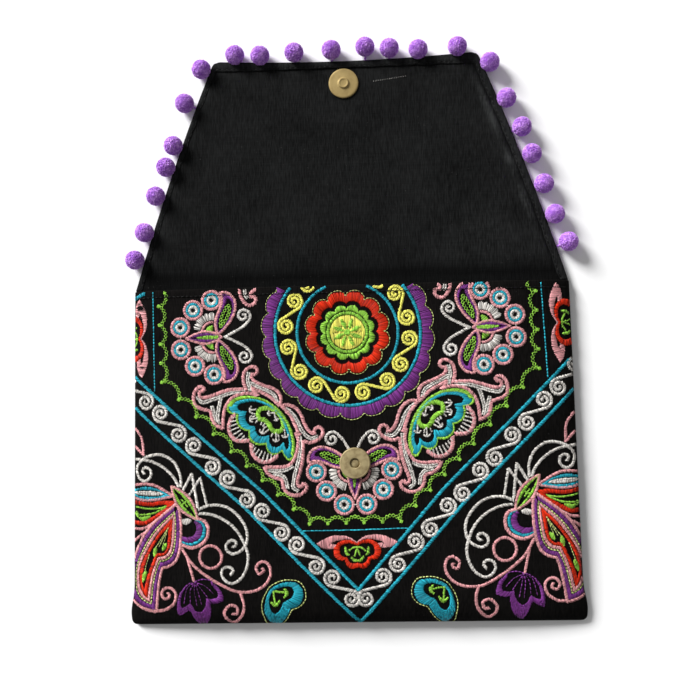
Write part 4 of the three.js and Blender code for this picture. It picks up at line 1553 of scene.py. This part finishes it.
def off_flap(x, up):
    """How far a point lies outside the flap's edge, and the way out."""
    lean = math.atan2(MOUTH_HALF - FLAP_TOP_HALF, FLAP_HEIGHT)
    beside_flap = (np.abs(x) - flap_half(np.minimum(up, FLAP_TOP - FLAP_CORNER))) * math.cos(lean)
    above_flap = up - FLAP_TOP + top_dip(x, np.full_like(up, FLAP_TOP))
    at_top = above_flap > beside_flap
    way_x = np.where(at_top, 0.0, np.sign(x) * math.cos(lean))
    way_up = np.where(at_top, 1.0, math.sin(lean))
    return np.maximum(beside_flap, above_flap), way_x, way_up


def tube(path, radius, sides=8):
    """Points and faces of a closed round tube along a path."""
    heading = unit(np.gradient(path, axis=0))
    aside = unit(np.cross(heading, (0.0, 0.0, 1.0)))
    over = np.cross(aside, heading)
    turn = full_turn(sides)[None, :, None]
    rings = path[:, None] + radius * (np.cos(turn) * aside[:, None] + np.sin(turn) * over[:, None])
    points = rings.reshape(-1, 3)
    faces = [list(range(sides)), list(range(len(points) - 1, len(points) - sides - 1, -1))]
    for ring in range(len(path) - 1):
        for side in range(sides):
            after = (side + 1) % sides
            low = ring * sides
            faces.append([low + side, low + sides + side, low + sides + after, low + after])
    return points, faces


def bent_at_fold(rows):
    """Rows of stitches with those near the bottom fold cut into short ones, which follow its curve."""
    low = np.minimum(rows[:, 1], rows[:, 3]) < FOLD_BEND
    long_ones = rows[low]
    start = long_ones[:, :2]
    way = long_ones[:, 2:4] - start
    bent = [rows[~low]]
    for part in range(FOLD_PARTS):
        first = start + way * part / FOLD_PARTS
        last = start + way * (part + 1) / FOLD_PARTS
        bent.append(np.column_stack([first, last, long_ones[:, 4:]]))
    return np.concatenate(bent)


def thread_material(thread):
    settings = bpy.context.scene.clutch_thread
    colours = {"Shade": getattr(settings, f"{thread}_shade"), "Light": getattr(settings, f"{thread}_light")}
    return material_with(f"Thread {thread}", shared_group("Thread Tones", thread_group), colours,
                         {"Specular IOR Level": 0.22})


# Settings
def length_setting(name, description, default, low, high):
    return bpy.props.FloatProperty(name=name, description=description, default=default, min=low, max=high,
                                   unit="LENGTH", subtype="DISTANCE")


def colour_setting(name, description, colour):
    return bpy.props.FloatVectorProperty(name=name, description=description, default=colour, size=4,
                                         min=0.0, max=1.0, subtype="COLOR")


class ClutchClothSettings(bpy.types.PropertyGroup):
    """Sizes of the cloth's waves, and its colours"""

    # On the lining and hem the dark colour also serves as painted shade and the worn lining colour as painted
    # highlight
    dark: colour_setting("Cotton", "Colour of the cloth where it isn't worn", srgb(3, 3, 3))
    faded: colour_setting("Worn outer cotton", "Colour of the worn outer cloth", srgb(22, 20, 19))
    lining: colour_setting("Worn lining", "Colour of the worn lining and hem", srgb(46, 47, 47))
    pucker: length_setting("Pucker", "Height of the waves that the needlework pulls into the front",
                           0.00028, 0.0, 0.001)
    ripple: length_setting("Ripple", "Height of the soft waves in the flap's lining", 0.00055, 0.0, 0.002)
    hem_pucker: length_setting("Hem pucker", "How far the hem's inner edge waves", 0.00035, 0.0, 0.002)


class ClutchPompomSettings(bpy.types.PropertyGroup):
    """Yarn of the pompoms"""

    # The deep colour is also the painted shade in the yarn's creases and on the ball under its locks
    deep: colour_setting("Deep yarn", "Colour of the yarn in the creases", srgb(144, 72, 192))
    pale: colour_setting("Pale yarn", "Colour of the yarn at its lightest", srgb(232, 180, 255))
    core: length_setting("Core radius", "Radius of the packed middle of a pompom", 0.0054, 0.001, 0.006)
    lock: length_setting("Lock length", "Length of a clipped lock of yarn", 0.00055, 0.0002, 0.004)
    width: length_setting("Lock width", "Width of a clipped lock of yarn", 0.00062, 0.0002, 0.003)
    locks: bpy.props.IntProperty(
        name="Locks", description="About how many locks a pompom has", default=900, min=10, max=2000)


class ClutchThreadSettings(bpy.types.PropertyGroup):
    """Darkest and lightest colour of each thread"""

    __annotations__ = {
        f"{thread}_{part}": colour_setting(f"{thread} {part}".title(), f"{part} of {thread} thread", colour)
        for thread, colours in THREADS.items()
        for part, colour in zip(("shade", "light"), colours)
    }


class ClutchSnapSettings(bpy.types.PropertyGroup):
    """Metal of the snap"""

    stud: colour_setting("Stud", "Colour of the stud's plating", srgb(157, 136, 88))
    stud_tarnish: colour_setting("Stud tarnish", "Colour of the worn stud", srgb(143, 122, 77))
    socket: colour_setting("Socket", "Colour of the socket's plating", srgb(160, 145, 107))
    socket_tarnish: colour_setting("Socket tarnish", "Colour of the worn socket", srgb(122, 106, 74))


class ClutchStageSettings(bpy.types.PropertyGroup):
    """Light round the bag"""

    key: bpy.props.FloatProperty(
        name="Key light", description="Strength of the soft light from the upper left", default=6.9, min=0.0)
    sky: bpy.props.FloatProperty(
        name="Sky", description="Strength of the even light all round", default=0.31, min=0.0)


SETTINGS = {
    "clutch_cloth": ClutchClothSettings,
    "clutch_pompom": ClutchPompomSettings,
    "clutch_thread": ClutchThreadSettings,
    "clutch_snap": ClutchSnapSettings,
    "clutch_stage": ClutchStageSettings,
}


# Operators, each after its own sizes
FRONT_COLUMNS = 121
FOLD_ROWS = 38
FOLD_CROWDING = 2.5
FRONT_ROWS = 72
FRONT_EDGE = 0.7


class CLUTCH_OT_front(bpy.types.Operator):
    """Build the pouch's padded front cloth"""

    bl_idname = "clutch.front"
    bl_label = "Front cloth"

    def execute(self, context):
        pucker = context.scene.clutch_cloth.pucker / MM
        across = np.sin(np.linspace(-1, 1, FRONT_COLUMNS) * math.pi / 2)
        fold_rows = FOLD_REACH * np.linspace(0, 1, FOLD_ROWS) ** FOLD_CROWDING
        rows = np.linspace(FOLD_REACH, POUCH_HEIGHT - FRONT_EDGE, FRONT_ROWS)[1:]
        up = np.concatenate([fold_rows, rows])[:, None]
        x = pouch_half(up) * across
        outer = in_frame(x, up, front_height(x, up, pucker))
        inner_up = CLOTH + (up - up[0]) * (POUCH_HEIGHT - FRONT_EDGE - CLOTH) / (up[-1] - up[0])
        inner_x = (pouch_half(inner_up) - CLOTH) * across
        inner = in_frame(inner_x, inner_up, SEAM_Z + arch(CROWN - CLOTH, across, inner_up - CLOTH))
        sheet = closed_sheet(outer, inner, FRONT_EDGE * MM)
        piece = new_piece("front_cloth", sheet, outer_cotton(), "outer_cotton")
        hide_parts("front_panel")
        return {"FINISHED"}


BACK_COLUMNS = 81
BACK_ROWS = 110
CORNER_ROWS = 9
BACK_EDGE = 0.6
BACK_WAVE = 0.12


class CLUTCH_OT_back(bpy.types.Operator):
    """Build the back and the flap, which are one cloth"""

    bl_idname = "clutch.back"
    bl_label = "Back and flap"

    def execute(self, context):
        across = np.linspace(-1, 1, BACK_COLUMNS)
        corner = 0.5 - 0.5 * np.cos(np.linspace(0, math.pi / 2, CORNER_ROWS))
        low = CORNER_RADIUS * 4 * corner
        high = FLAP_TOP - FLAP_CORNER * 2 * corner[::-1]
        up = np.concatenate([low, np.linspace(low[-1], high[0], BACK_ROWS)[1:-1], high])[:, None]
        half = outline_half(up) - BACK_EDGE
        x = half * across
        y = up - top_dip(x, up)
        wave = BACK_WAVE * np.sin(x * 0.06 + up * 0.021) * np.sin(up * 0.05) * rounded(across, 4)
        top = in_frame(x, y, CLOTH + wave)
        bottom = in_frame(x, y, np.zeros_like(x))
        sheet = closed_sheet(top, bottom, BACK_EDGE * MM)
        piece = new_piece("back_and_flap_cloth", sheet, outer_cotton(), "outer_cotton")
        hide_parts("back_and_flap")
        return {"FINISHED"}


def hem_inner(up, side):
    """Where a side hem's inner edge runs, at a height on the flap."""
    return flap_half(up) - (HEM_LEFT if side < 0 else HEM_RIGHT)


# The lining's grid, how far it goes under the hems, and how far it stays inside the pouch's seams
LINING_COLUMNS = 97
LINING_ROWS = 126
UNDER_TOP_HEM = 2.2
UNDER_SIDE_HEM = 0.5
INSIDE_SEAM = 6.0
WIDENS_OVER = 25
LINING_DIP = 0.8
LINING_EDGE = 0.4

# The puckered ridge in the lining beside its right hem, and the reach of the painted shade of a groove
# between the two
RIDGE_AT = 3.4
RIDGE_REACH = 2.1
RIDGE_HEIGHT = 0.8
GROOVE_SHADE_REACH = 1.6

# How far above the mouth a line of painted shade marks a crease where the flap folds, and how broad that line
# is
CREASE_SHADE_UP = 7.0
CREASE_SHADE_REACH = 2.2

# How worn the lining is; how much lighter it is on a patch at its lower right; the painted highlight on its
# ridge and the painted shade in its groove and along its crease; and how dark the painted shade by the mouth
# is at the mouth, and how far up it fades
LINING_WEAR = 0.48
PALE_PATCH_AT = (82, 224)
PALE_PATCH_REACH = (26, 24)
PALE_PATCH_SHARE = 0.22
RIDGE_HIGHLIGHT = 1.5
GROOVE_SHADE_DEPTH = 0.45
CREASE_SHADE_DEPTH = 0.7
MOUTH_SHADE_LEVEL = 0.35
MOUTH_SHADE_REACH = 10


def flap_share(up):
    """How freely the lining lies at a height: 0 at the mouth and at the top hem, 1 between them."""
    return clamp01((up - POUCH_HEIGHT - 4) / 20) * clamp01((FLAP_TOP - HEM_TOP - up) / 8)


def lining_wave(x, up):
    """Soft waves in the lining, as shares of the ripple's height."""
    broad = np.sin(x * 0.048 + 0.7 + 0.9 * np.sin(up * 0.035)) * np.sin(up * 0.061 - 0.4)
    small = np.sin(x * 0.13 + up * 0.04) * np.sin(up * 0.14 + 1.1)
    return flap_share(up) * (0.8 + broad + 0.4 * small)


class CLUTCH_OT_lining(bpy.types.Operator):
    """Build the lining, from inside the pouch to the flap's hems"""

    bl_idname = "clutch.lining"
    bl_label = "Lining"

    def execute(self, context):
        ripple = context.scene.clutch_cloth.ripple / MM
        across = np.linspace(0, 1, LINING_COLUMNS)
        up = np.linspace(LINING_FOOT, FLAP_TOP - HEM_TOP + UNDER_TOP_HEM, LINING_ROWS)[:, None]
        inside = pouch_half(up) - INSIDE_SEAM
        step = clamp01((up - POUCH_HEIGHT + WIDENS_OVER) / WIDENS_OVER)
        step = step * step * (3 - 2 * step)
        on_hem = np.maximum(up, POUCH_HEIGHT)
        left = -(inside + (hem_inner(on_hem, -1) + UNDER_SIDE_HEM - inside) * step)
        right = inside + (hem_inner(on_hem, 1) + UNDER_SIDE_HEM - inside) * step
        x = left + (right - left) * across
        y = up - LINING_DIP * top_dip(x, up)
        on_flap = flap_share(up)
        fade = rounded(across * 2 - 1, 6)
        pulled = 0.55 + 0.45 * np.sin(up * 0.19 + 1.6 * np.sin(up * 0.07))
        ridge = on_flap * pulled * np.exp(-(((right - x - RIDGE_AT) / RIDGE_REACH) ** 2))
        tucked = 0.8 * clamp01((up - FLAP_TOP + HEM_TOP + 1.1) / 3)
        top = in_frame(x, y, LINING_TOP + fade * ripple * lining_wave(x, up) + ridge * RIDGE_HEIGHT - tucked)
        bottom = in_frame(x, y, np.full_like(x, SEAM_Z))
        sheet = closed_sheet(top, bottom, LINING_EDGE * MM)
        piece = new_piece("flap_lining_cloth", sheet, lining_cotton(), "lining_cotton")
        # A paler patch on the lining's lower right
        off_x = (x - PALE_PATCH_AT[0]) / PALE_PATCH_REACH[0]
        off_up = (up - PALE_PATCH_AT[1]) / PALE_PATCH_REACH[1]
        pale_patch = np.exp(-(off_x**2) - off_up**2)
        # Painted shade of a groove beside the right hem; the cloth itself has no groove there
        groove_shade = on_flap * np.exp(-(((right - x) / GROOVE_SHADE_REACH) ** 2))
        # The ridge's lightening is a painted highlight and the groove's darkening is painted shade
        wear = LINING_WEAR + PALE_PATCH_SHARE * pale_patch + RIDGE_HIGHLIGHT * ridge - GROOVE_SHADE_DEPTH * groove_shade
        # Painted shade: a crease line above the mouth, and darker still towards the mouth itself
        above = up - POUCH_HEIGHT - CREASE_SHADE_UP
        crease_shade = np.exp(-(((above - 0.8 * np.sin(x * 0.04)) / CREASE_SHADE_REACH) ** 2))
        near_mouth = MOUTH_SHADE_LEVEL + (1 - MOUTH_SHADE_LEVEL) * clamp01(above / MOUTH_SHADE_REACH)
        set_wear_and_shading(piece, wear * near_mouth * (1 - CREASE_SHADE_DEPTH * crease_shade))
        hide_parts("flap_lining")
        return {"FINISHED"}


# Across a hem, from its outer to its inner edge: share of the width and share of the height
HEM_SECTION = (
    (0.0, 0.0), (0.01, 0.5), (0.04, 0.8), (0.12, 0.95), (0.4, 1.0), (0.6, 0.98), (0.7, 0.92), (0.77, 0.8),
    (0.84, 0.88), (0.92, 0.86), (0.98, 0.6), (1.0, 0.05),
)
HEM_CROWN = 1.7
HEM_ROWS = 150
HEM_FOOT = 0.4
HEM_INSET = 0.3
HEM_LIP = 0.25
HEM_UNDER = 0.2
HEM_EDGE = 0.05
HEM_WEAR = 0.5
HEM_CREST_WEAR_AND_HIGHLIGHT = 0.36
HEM_SEED = 3
HEM_STITCH_SHARE = 0.77
HEM_STITCH_FOOT = 0.35
HEM_STITCH_HEIGHT = 0.8
HEM_STITCH = 2.3
HEM_STITCH_GAP = 0.7

# Short white tacking stitches left in the lining, from one end of their row to the other
TACK_ROW = ((17.4, 322.4), (36.7, 324.8))
TACKS = 15
TACK_LENGTH = 0.4
TACK_WIDTH = 0.2
TACK_CLEAR = 0.1


def hem_line():
    """Points along the flap's edge from the mouth, up the left, across the top and down the right:
    outer x and up, inner x and up."""
    rise = np.linspace(POUCH_HEIGHT + HEM_FOOT, FLAP_TOP - FLAP_CORNER, HEM_ROWS)
    turn = np.linspace(0, math.pi / 2, CORNER_ROWS)[1:]
    corner_up = FLAP_TOP - FLAP_CORNER + FLAP_CORNER * np.sin(turn)
    side_up = np.concatenate([rise, corner_up])
    side_half = flap_half(side_up) - HEM_INSET
    across = np.linspace(-1, 1, HEM_ROWS)[1:-1]
    top_x = across * side_half[-1]
    top_up = np.full_like(top_x, FLAP_TOP)
    outer_x = np.concatenate([-side_half, top_x, side_half[::-1]])
    outer_up = np.concatenate([side_up, top_up, side_up[::-1]])
    outer_up = outer_up - top_dip(outer_x, outer_up) - HEM_INSET * (outer_up > FLAP_TOP - 1)
    inner_top = FLAP_TOP - HEM_TOP + HEM_TOP_SLANT * outer_x / FLAP_TOP_HALF
    inner_up = np.minimum(outer_up, inner_top)
    left = -hem_inner(inner_up, -1)
    right = hem_inner(inner_up, 1)
    inner_x = np.clip(outer_x, left, right)
    return outer_x, outer_up, inner_x, inner_up


class CLUTCH_OT_hem(bpy.types.Operator):
    """Build the turned hem along the flap's three edges, with its topstitching"""

    bl_idname = "clutch.hem"
    bl_label = "Flap hem"

    def execute(self, context):
        pucker = context.scene.clutch_cloth.hem_pucker / MM
        outer_x, outer_up, inner_x, inner_up = hem_line()
        distance = distances(np.hypot(np.diff(outer_x), np.diff(outer_up)))
        wave = np.sin(distance * 0.37) + 0.6 * np.sin(distance * 0.83 + 1.2)
        reach = 1 + 0.1 * pucker * wave
        share, height = np.array(HEM_SECTION).T[:, :, None]
        x = outer_x + (inner_x - outer_x) * share * reach
        up = outer_up + (inner_up - outer_up) * share * reach
        swell = 1 + 0.05 * np.sin(distance * 0.37) + 0.04 * np.sin(distance * 0.9 + 0.5)
        top = in_frame(x, up, SEAM_Z + HEM_LIP + (HEM_CROWN - HEM_LIP) * height * swell)
        bottom = in_frame(x, up, np.full_like(x, SEAM_Z - HEM_UNDER))
        points, faces = closed_sheet(top, bottom, HEM_EDGE * MM)
        sheet = (points, [face[::-1] for face in faces])
        piece = new_piece("flap_hem", sheet, lining_cotton(), "lining_cotton")
        # Lighter the higher the hem stands across its section: wear on the crest with a painted highlight,
        # and painted shade in the groove and at the edges
        set_wear_and_shading(piece, np.broadcast_to(HEM_WEAR + HEM_CREST_WEAR_AND_HIGHLIGHT * height**2, x.shape))
        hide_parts("hem_left", "hem_top", "hem_right")
        shape = stitch_shape()
        seam = np.stack([outer_x + (inner_x - outer_x) * HEM_STITCH_SHARE * reach,
                         outer_up + (inner_up - outer_up) * HEM_STITCH_SHARE * reach], axis=-1)
        seam_z = SEAM_Z + HEM_STITCH_FOOT + (HEM_CROWN - HEM_LIP) * HEM_STITCH_HEIGHT
        spots, heading = along(seam, HEM_STITCH + HEM_STITCH_GAP)
        spans = heading * HEM_STITCH
        topstitch = self.sewn("hem_topstitch", spots, spans, seam_z, THREAD_WIDTH, shape, "black")
        ends = np.array(TACK_ROW)
        row = ends[0] + (ends[1] - ends[0]) * np.linspace(0, 1, TACKS)[:, None]
        ripple = context.scene.clutch_cloth.ripple / MM
        tack_z = LINING_TOP + ripple * lining_wave(row[:, 0], row[:, 1]) + TACK_CLEAR
        spans = np.full_like(row, TACK_LENGTH) * (0.3, 1.0)
        tacks = self.sewn("lining_tacks", row, spans, tack_z, TACK_WIDTH, shape, "white")
        bpy.data.objects.remove(shape)
        return {"FINISHED"}

    def sewn(self, name, spots, spans, z, width, shape, thread):
        """Level stitches on the lining, each with its middle and its span."""
        first = spots - spans / 2
        last = spots + spans / 2
        upright = np.tile((0.0, 0.0, 1.0), (len(spots), 1))
        return sew_on(name, in_frame(*first.T, z), in_frame(*last.T, z), np.full(len(spots), width * MM),
                      upright, shape, thread, HEM_SEED)


# How far stitches stay from the mouth and their ends from the front's edges, how high they lie on the
# cloth, and the step over which the cloth's slope is taken
MOUTH_KEEP = 1.2
MOUTH_CLIP = 0.6
ENDS_KEEP = 0.3
STITCH_CLEAR = 0.12
SLOPE_STEP = 0.3


class CLUTCH_OT_embroidery(bpy.types.Operator):
    """Sew the front's embroidery, one piece for each thread"""

    bl_idname = "clutch.embroidery"
    bl_label = "Embroidery"

    def execute(self, context):
        pucker = context.scene.clutch_cloth.pucker / MM
        work = Needlework(EMBROIDERY_SEED)
        for motif, sides in MOTIFS:
            for side in sides:
                work.set_at(side=side)
                motif(work)
        shape = stitch_shape()
        for seed, thread in enumerate(THREADS):
            if not work.sewn[thread]:
                continue
            rows = bent_at_fold(np.concatenate(work.sewn[thread]))
            middle_x = (rows[:, 0] + rows[:, 2]) / 2
            middle_up = (rows[:, 1] + rows[:, 3]) / 2
            inside = (middle_up > KEEP_FROM_EDGE) & (middle_up < POUCH_HEIGHT - MOUTH_KEEP)
            inside &= np.abs(middle_x) < pouch_half(middle_up) - KEEP_FROM_EDGE
            rows = rows[inside]
            ends = []
            for x, up in (rows[:, 0:2].T, rows[:, 2:4].T):
                up = np.clip(up, ENDS_KEEP, POUCH_HEIGHT - MOUTH_CLIP)
                x = np.clip(x, ENDS_KEEP - pouch_half(up), pouch_half(up) - ENDS_KEEP)
                ends.append(in_frame(x, up, front_height(x, up, pucker) + rows[:, 5] + STITCH_CLEAR))
            near = SLOPE_STEP
            x = middle_x[inside]
            up = np.clip(middle_up[inside], 2 * near, POUCH_HEIGHT - 2 * near)
            x = np.clip(x, 2 * near - pouch_half(up), pouch_half(up) - 2 * near)
            slope_x = (front_height(x + near, up, pucker) - front_height(x - near, up, pucker)) / (2 * near)
            slope_up = (front_height(x, up + near, pucker) - front_height(x, up - near, pucker)) / (2 * near)
            normal = np.stack([-slope_x, -slope_up, np.ones_like(x)], axis=-1)
            sew_on(f"embroidery_{thread}", ends[0], ends[1], rows[:, 4] * MM, normal, shape,
                                 thread, seed)
        bpy.data.objects.remove(shape)
        return {"FINISHED"}


# How far locks stay off the table and the flap, and how deep in the flap's edge they are still pushed out
TABLE_CLEAR = 0.05
FLAP_CLEAR = 0.1
PUSH_DEPTH = 1.4


class CLUTCH_OT_pompoms(bpy.types.Operator):
    """Grow the yarn pompoms along the flap's edge"""

    bl_idname = "clutch.pompoms"
    bl_label = "Pompoms"

    def execute(self, context):
        settings = context.scene.clutch_pompom
        yarn = material_with("Pompom Yarn", shared_group("Yarn Mottle", yarn_group),
                             {"Deep": settings.deep, "Pale": settings.pale},
                             {"Roughness": 0.95, "Specular IOR Level": 0.1, "Sheen Weight": 0.15})
        shape = lock_shape()
        tree = shared_group("Grow Locks", lock_group)
        density = settings.locks / (4 * math.pi * settings.core**2)
        for number in range(1, POMPOM_COUNT + 1):
            cad = f"pompom_{number:02d}"
            low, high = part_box(cad)
            x = np.array([(low.x + high.x) / 2 / MM - MIDDLE])
            up = np.array([(low.y + high.y) / 2 / MM - FOOT])
            out, way_x, way_up = off_flap(x, up)
            if way_x[0] == 0:
                up[0] = high.y / MM - FOOT - POMPOM_REACH
            else:
                x[0] = (high.x / MM - POMPOM_REACH if x[0] > 0 else low.x / MM + POMPOM_REACH) - MIDDLE
            out, way_x, way_up = off_flap(x, up)
            centre = in_frame(x, up, POMPOM_HEIGHT)[0]
            points, faces = ball(centre, settings.core)
            part = np.linspace(0, 1, NECK_POINTS)
            inward = (out + NECK_ROOT) * (1 - part)
            neck_z = SEAM_Z + (centre[2] / MM - SEAM_Z) * part**NECK_BEND
            neck = in_frame(x - way_x * inward, up - way_up * inward, neck_z)
            neck_points, neck_faces = tube(neck, NECK_RADIUS * MM)
            faces += [[corner + len(points) for corner in face] for face in neck_faces]
            points = np.concatenate([points, neck_points])
            piece = new_piece(f"{cad}_yarn", (points, faces), yarn, "pompom_yarn")
            grown(piece, tree, {"Lock": shape, "Density": density, "Length": settings.lock,
                                "Width": settings.width, "Seed": number, "Material": yarn})
            self.tuck(piece.data)
            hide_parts(cad)
        bpy.data.objects.remove(shape)
        return {"FINISHED"}

    def tuck(self, mesh):
        """Keeps the locks above the table and outside the flap's cloth."""
        flat = np.empty(len(mesh.vertices) * 3, dtype=np.float32)
        mesh.vertices.foreach_get("co", flat)
        points = flat.reshape(-1, 3).astype(float)
        points[:, 2] = np.maximum(points[:, 2], TABLE_CLEAR * MM)
        x = points[:, 0] / MM - MIDDLE
        up = points[:, 1] / MM - FOOT
        out, way_x, way_up = off_flap(x, up)
        beside_hem = (points[:, 2] < (SEAM_Z + HEM_CROWN) * MM) & (out >= -PUSH_DEPTH)
        push = np.where(beside_hem, np.maximum(FLAP_CLEAR - out, 0.0), 0.0) * MM
        points[:, 0] += way_x * push
        points[:, 1] += way_up * push
        mesh.vertices.foreach_set("co", points.astype(np.float32).ravel())
        mesh.update()


# Radius and height of each half of the snap, from its base to the middle of its face
STUD_PROFILE = (
    (0, 0), (8.7, 0), (9.0, 0.25), (9.0, 0.8), (8.85, 1.1), (8.5, 1.25), (7.6, 1.3), (3.9, 1.3), (3.4, 1.4),
    (3.2, 1.6), (3.1, 1.9), (2.95, 2.05), (2.6, 2.1), (2.3, 2.05), (2.0, 1.9), (1.6, 1.85), (0, 1.85),
)
SOCKET_PROFILE = (
    (0, 0), (8.8, 0), (9.0, 0.2), (9.0, 2.3), (8.9, 2.65), (8.6, 2.85), (8.2, 2.9), (7.9, 2.84),
    (7.7, 2.84), (7.4, 2.9), (3.3, 2.9), (3.0, 2.85), (2.85, 2.6), (2.85, 1.5), (2.3, 1.5), (2.2, 1.9),
    (1.9, 2.1), (0, 2.15),
)


class CLUTCH_OT_snap(bpy.types.Operator):
    """Turn the two halves of the magnetic snap"""

    bl_idname = "clutch.snap"
    bl_label = "Magnetic snap"

    def execute(self, context):
        settings = context.scene.clutch_snap
        plating = shared_group("Worn Plating", metal_group)
        fixed = {"Metallic": 0.2, "Specular IOR Level": 0.2}
        brass = material_with("Stud Brass", plating,
                              {"Bright": settings.stud, "Tarnish": settings.stud_tarnish},
                              fixed, bump=(0.15, 0.0001))
        bronze = material_with("Socket Bronze", plating,
                               {"Bright": settings.socket, "Tarnish": settings.socket_tarnish},
                               fixed, bump=(0.2, 0.0001))
        stud = new_piece("snap_stud_metal", turned(STUD_PROFILE, STUD_AT, STUD_BASE), brass, "stud_brass")
        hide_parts("snap_stud")
        metal = turned(SOCKET_PROFILE, SOCKET_AT, SOCKET_BASE)
        socket = new_piece("snap_socket_metal", metal, bronze, "socket_bronze")
        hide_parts("snap_socket")
        return {"FINISHED"}


# The white table's half width and the sun's place, in metres, and how soft the sun is, in degrees
TABLE_HALF = 4
KEY_FROM = (-0.7, 0.7, 0.46)
KEY_SOFTNESS = 26


class CLUTCH_OT_stage(bpy.types.Operator):
    """Set the table, the light and the camera"""

    bl_idname = "clutch.stage"
    bl_label = "Stage"

    def execute(self, context):
        scene = context.scene
        settings = scene.clutch_stage
        scene.view_settings.view_transform = "Standard"
        white = bpy.data.materials.new("Table White")
        white.use_nodes = True
        feed(white.node_tree, white.node_tree.nodes["Principled BSDF"],
             {"Base Color": (0.9, 0.9, 0.9, 1), "Roughness": 0.9, "Specular IOR Level": 0.1})
        corners = [(x * TABLE_HALF, y * TABLE_HALF, 0) for x, y in ((-1, -1), (1, -1), (1, 1), (-1, 1))]
        table = new_piece("table", (corners, [[0, 1, 2, 3]]), white)
        sky = bpy.data.worlds.new("Sky")
        sky.use_nodes = True
        feed(sky.node_tree, sky.node_tree.nodes["Background"],
             {"Color": (1, 1, 1, 1), "Strength": settings.sky})
        scene.world = sky
        lamp = bpy.data.lights.new("key", "SUN")
        lamp.angle = math.radians(KEY_SOFTNESS)
        lamp.energy = settings.key
        key = in_scene("key", lamp)
        key.location = KEY_FROM
        key.rotation_euler = (-key.location).to_track_quat("-Z", "Y").to_euler()
        optics = bpy.data.cameras.new("camera")
        optics.lens = LENS
        optics.clip_start = 0.01
        optics.clip_end = 50
        camera = in_scene("camera", optics)
        camera.location = in_frame(*CAMERA_AT)
        camera.rotation_euler = CAMERA_TURN
        scene.camera = camera
        return {"FINISHED"}


STEPS = (CLUTCH_OT_front, CLUTCH_OT_back, CLUTCH_OT_lining, CLUTCH_OT_hem, CLUTCH_OT_embroidery,
         CLUTCH_OT_pompoms, CLUTCH_OT_snap, CLUTCH_OT_stage)


class CLUTCH_PT_build(bpy.types.Panel):
    """Lists the steps that build the bag"""

    bl_idname = "CLUTCH_PT_build"
    bl_label = "Embroidered clutch"
    bl_space_type = "VIEW_3D"
    bl_region_type = "UI"
    bl_category = "Clutch"

    def draw(self, context):
        for step in STEPS:
            self.layout.operator(step.bl_idname)


def register():
    for name, kind in SETTINGS.items():
        bpy.utils.register_class(kind)
        setattr(bpy.types.Scene, name, bpy.props.PointerProperty(type=kind))
    for kind in (*STEPS, CLUTCH_PT_build):
        bpy.utils.register_class(kind)


def unregister():
    for kind in (CLUTCH_PT_build, *reversed(STEPS)):
        bpy.utils.unregister_class(kind)
    for name, kind in SETTINGS.items():
        delattr(bpy.types.Scene, name)
        bpy.utils.unregister_class(kind)


def main():
    register()
    bpy.ops.clutch.front()
    bpy.ops.clutch.back()
    bpy.ops.clutch.lining()
    bpy.ops.clutch.hem()
    bpy.ops.clutch.embroidery()
    bpy.ops.clutch.pompoms()
    bpy.ops.clutch.snap()
    bpy.ops.clutch.stage()


if __name__ == "__main__":
    main()
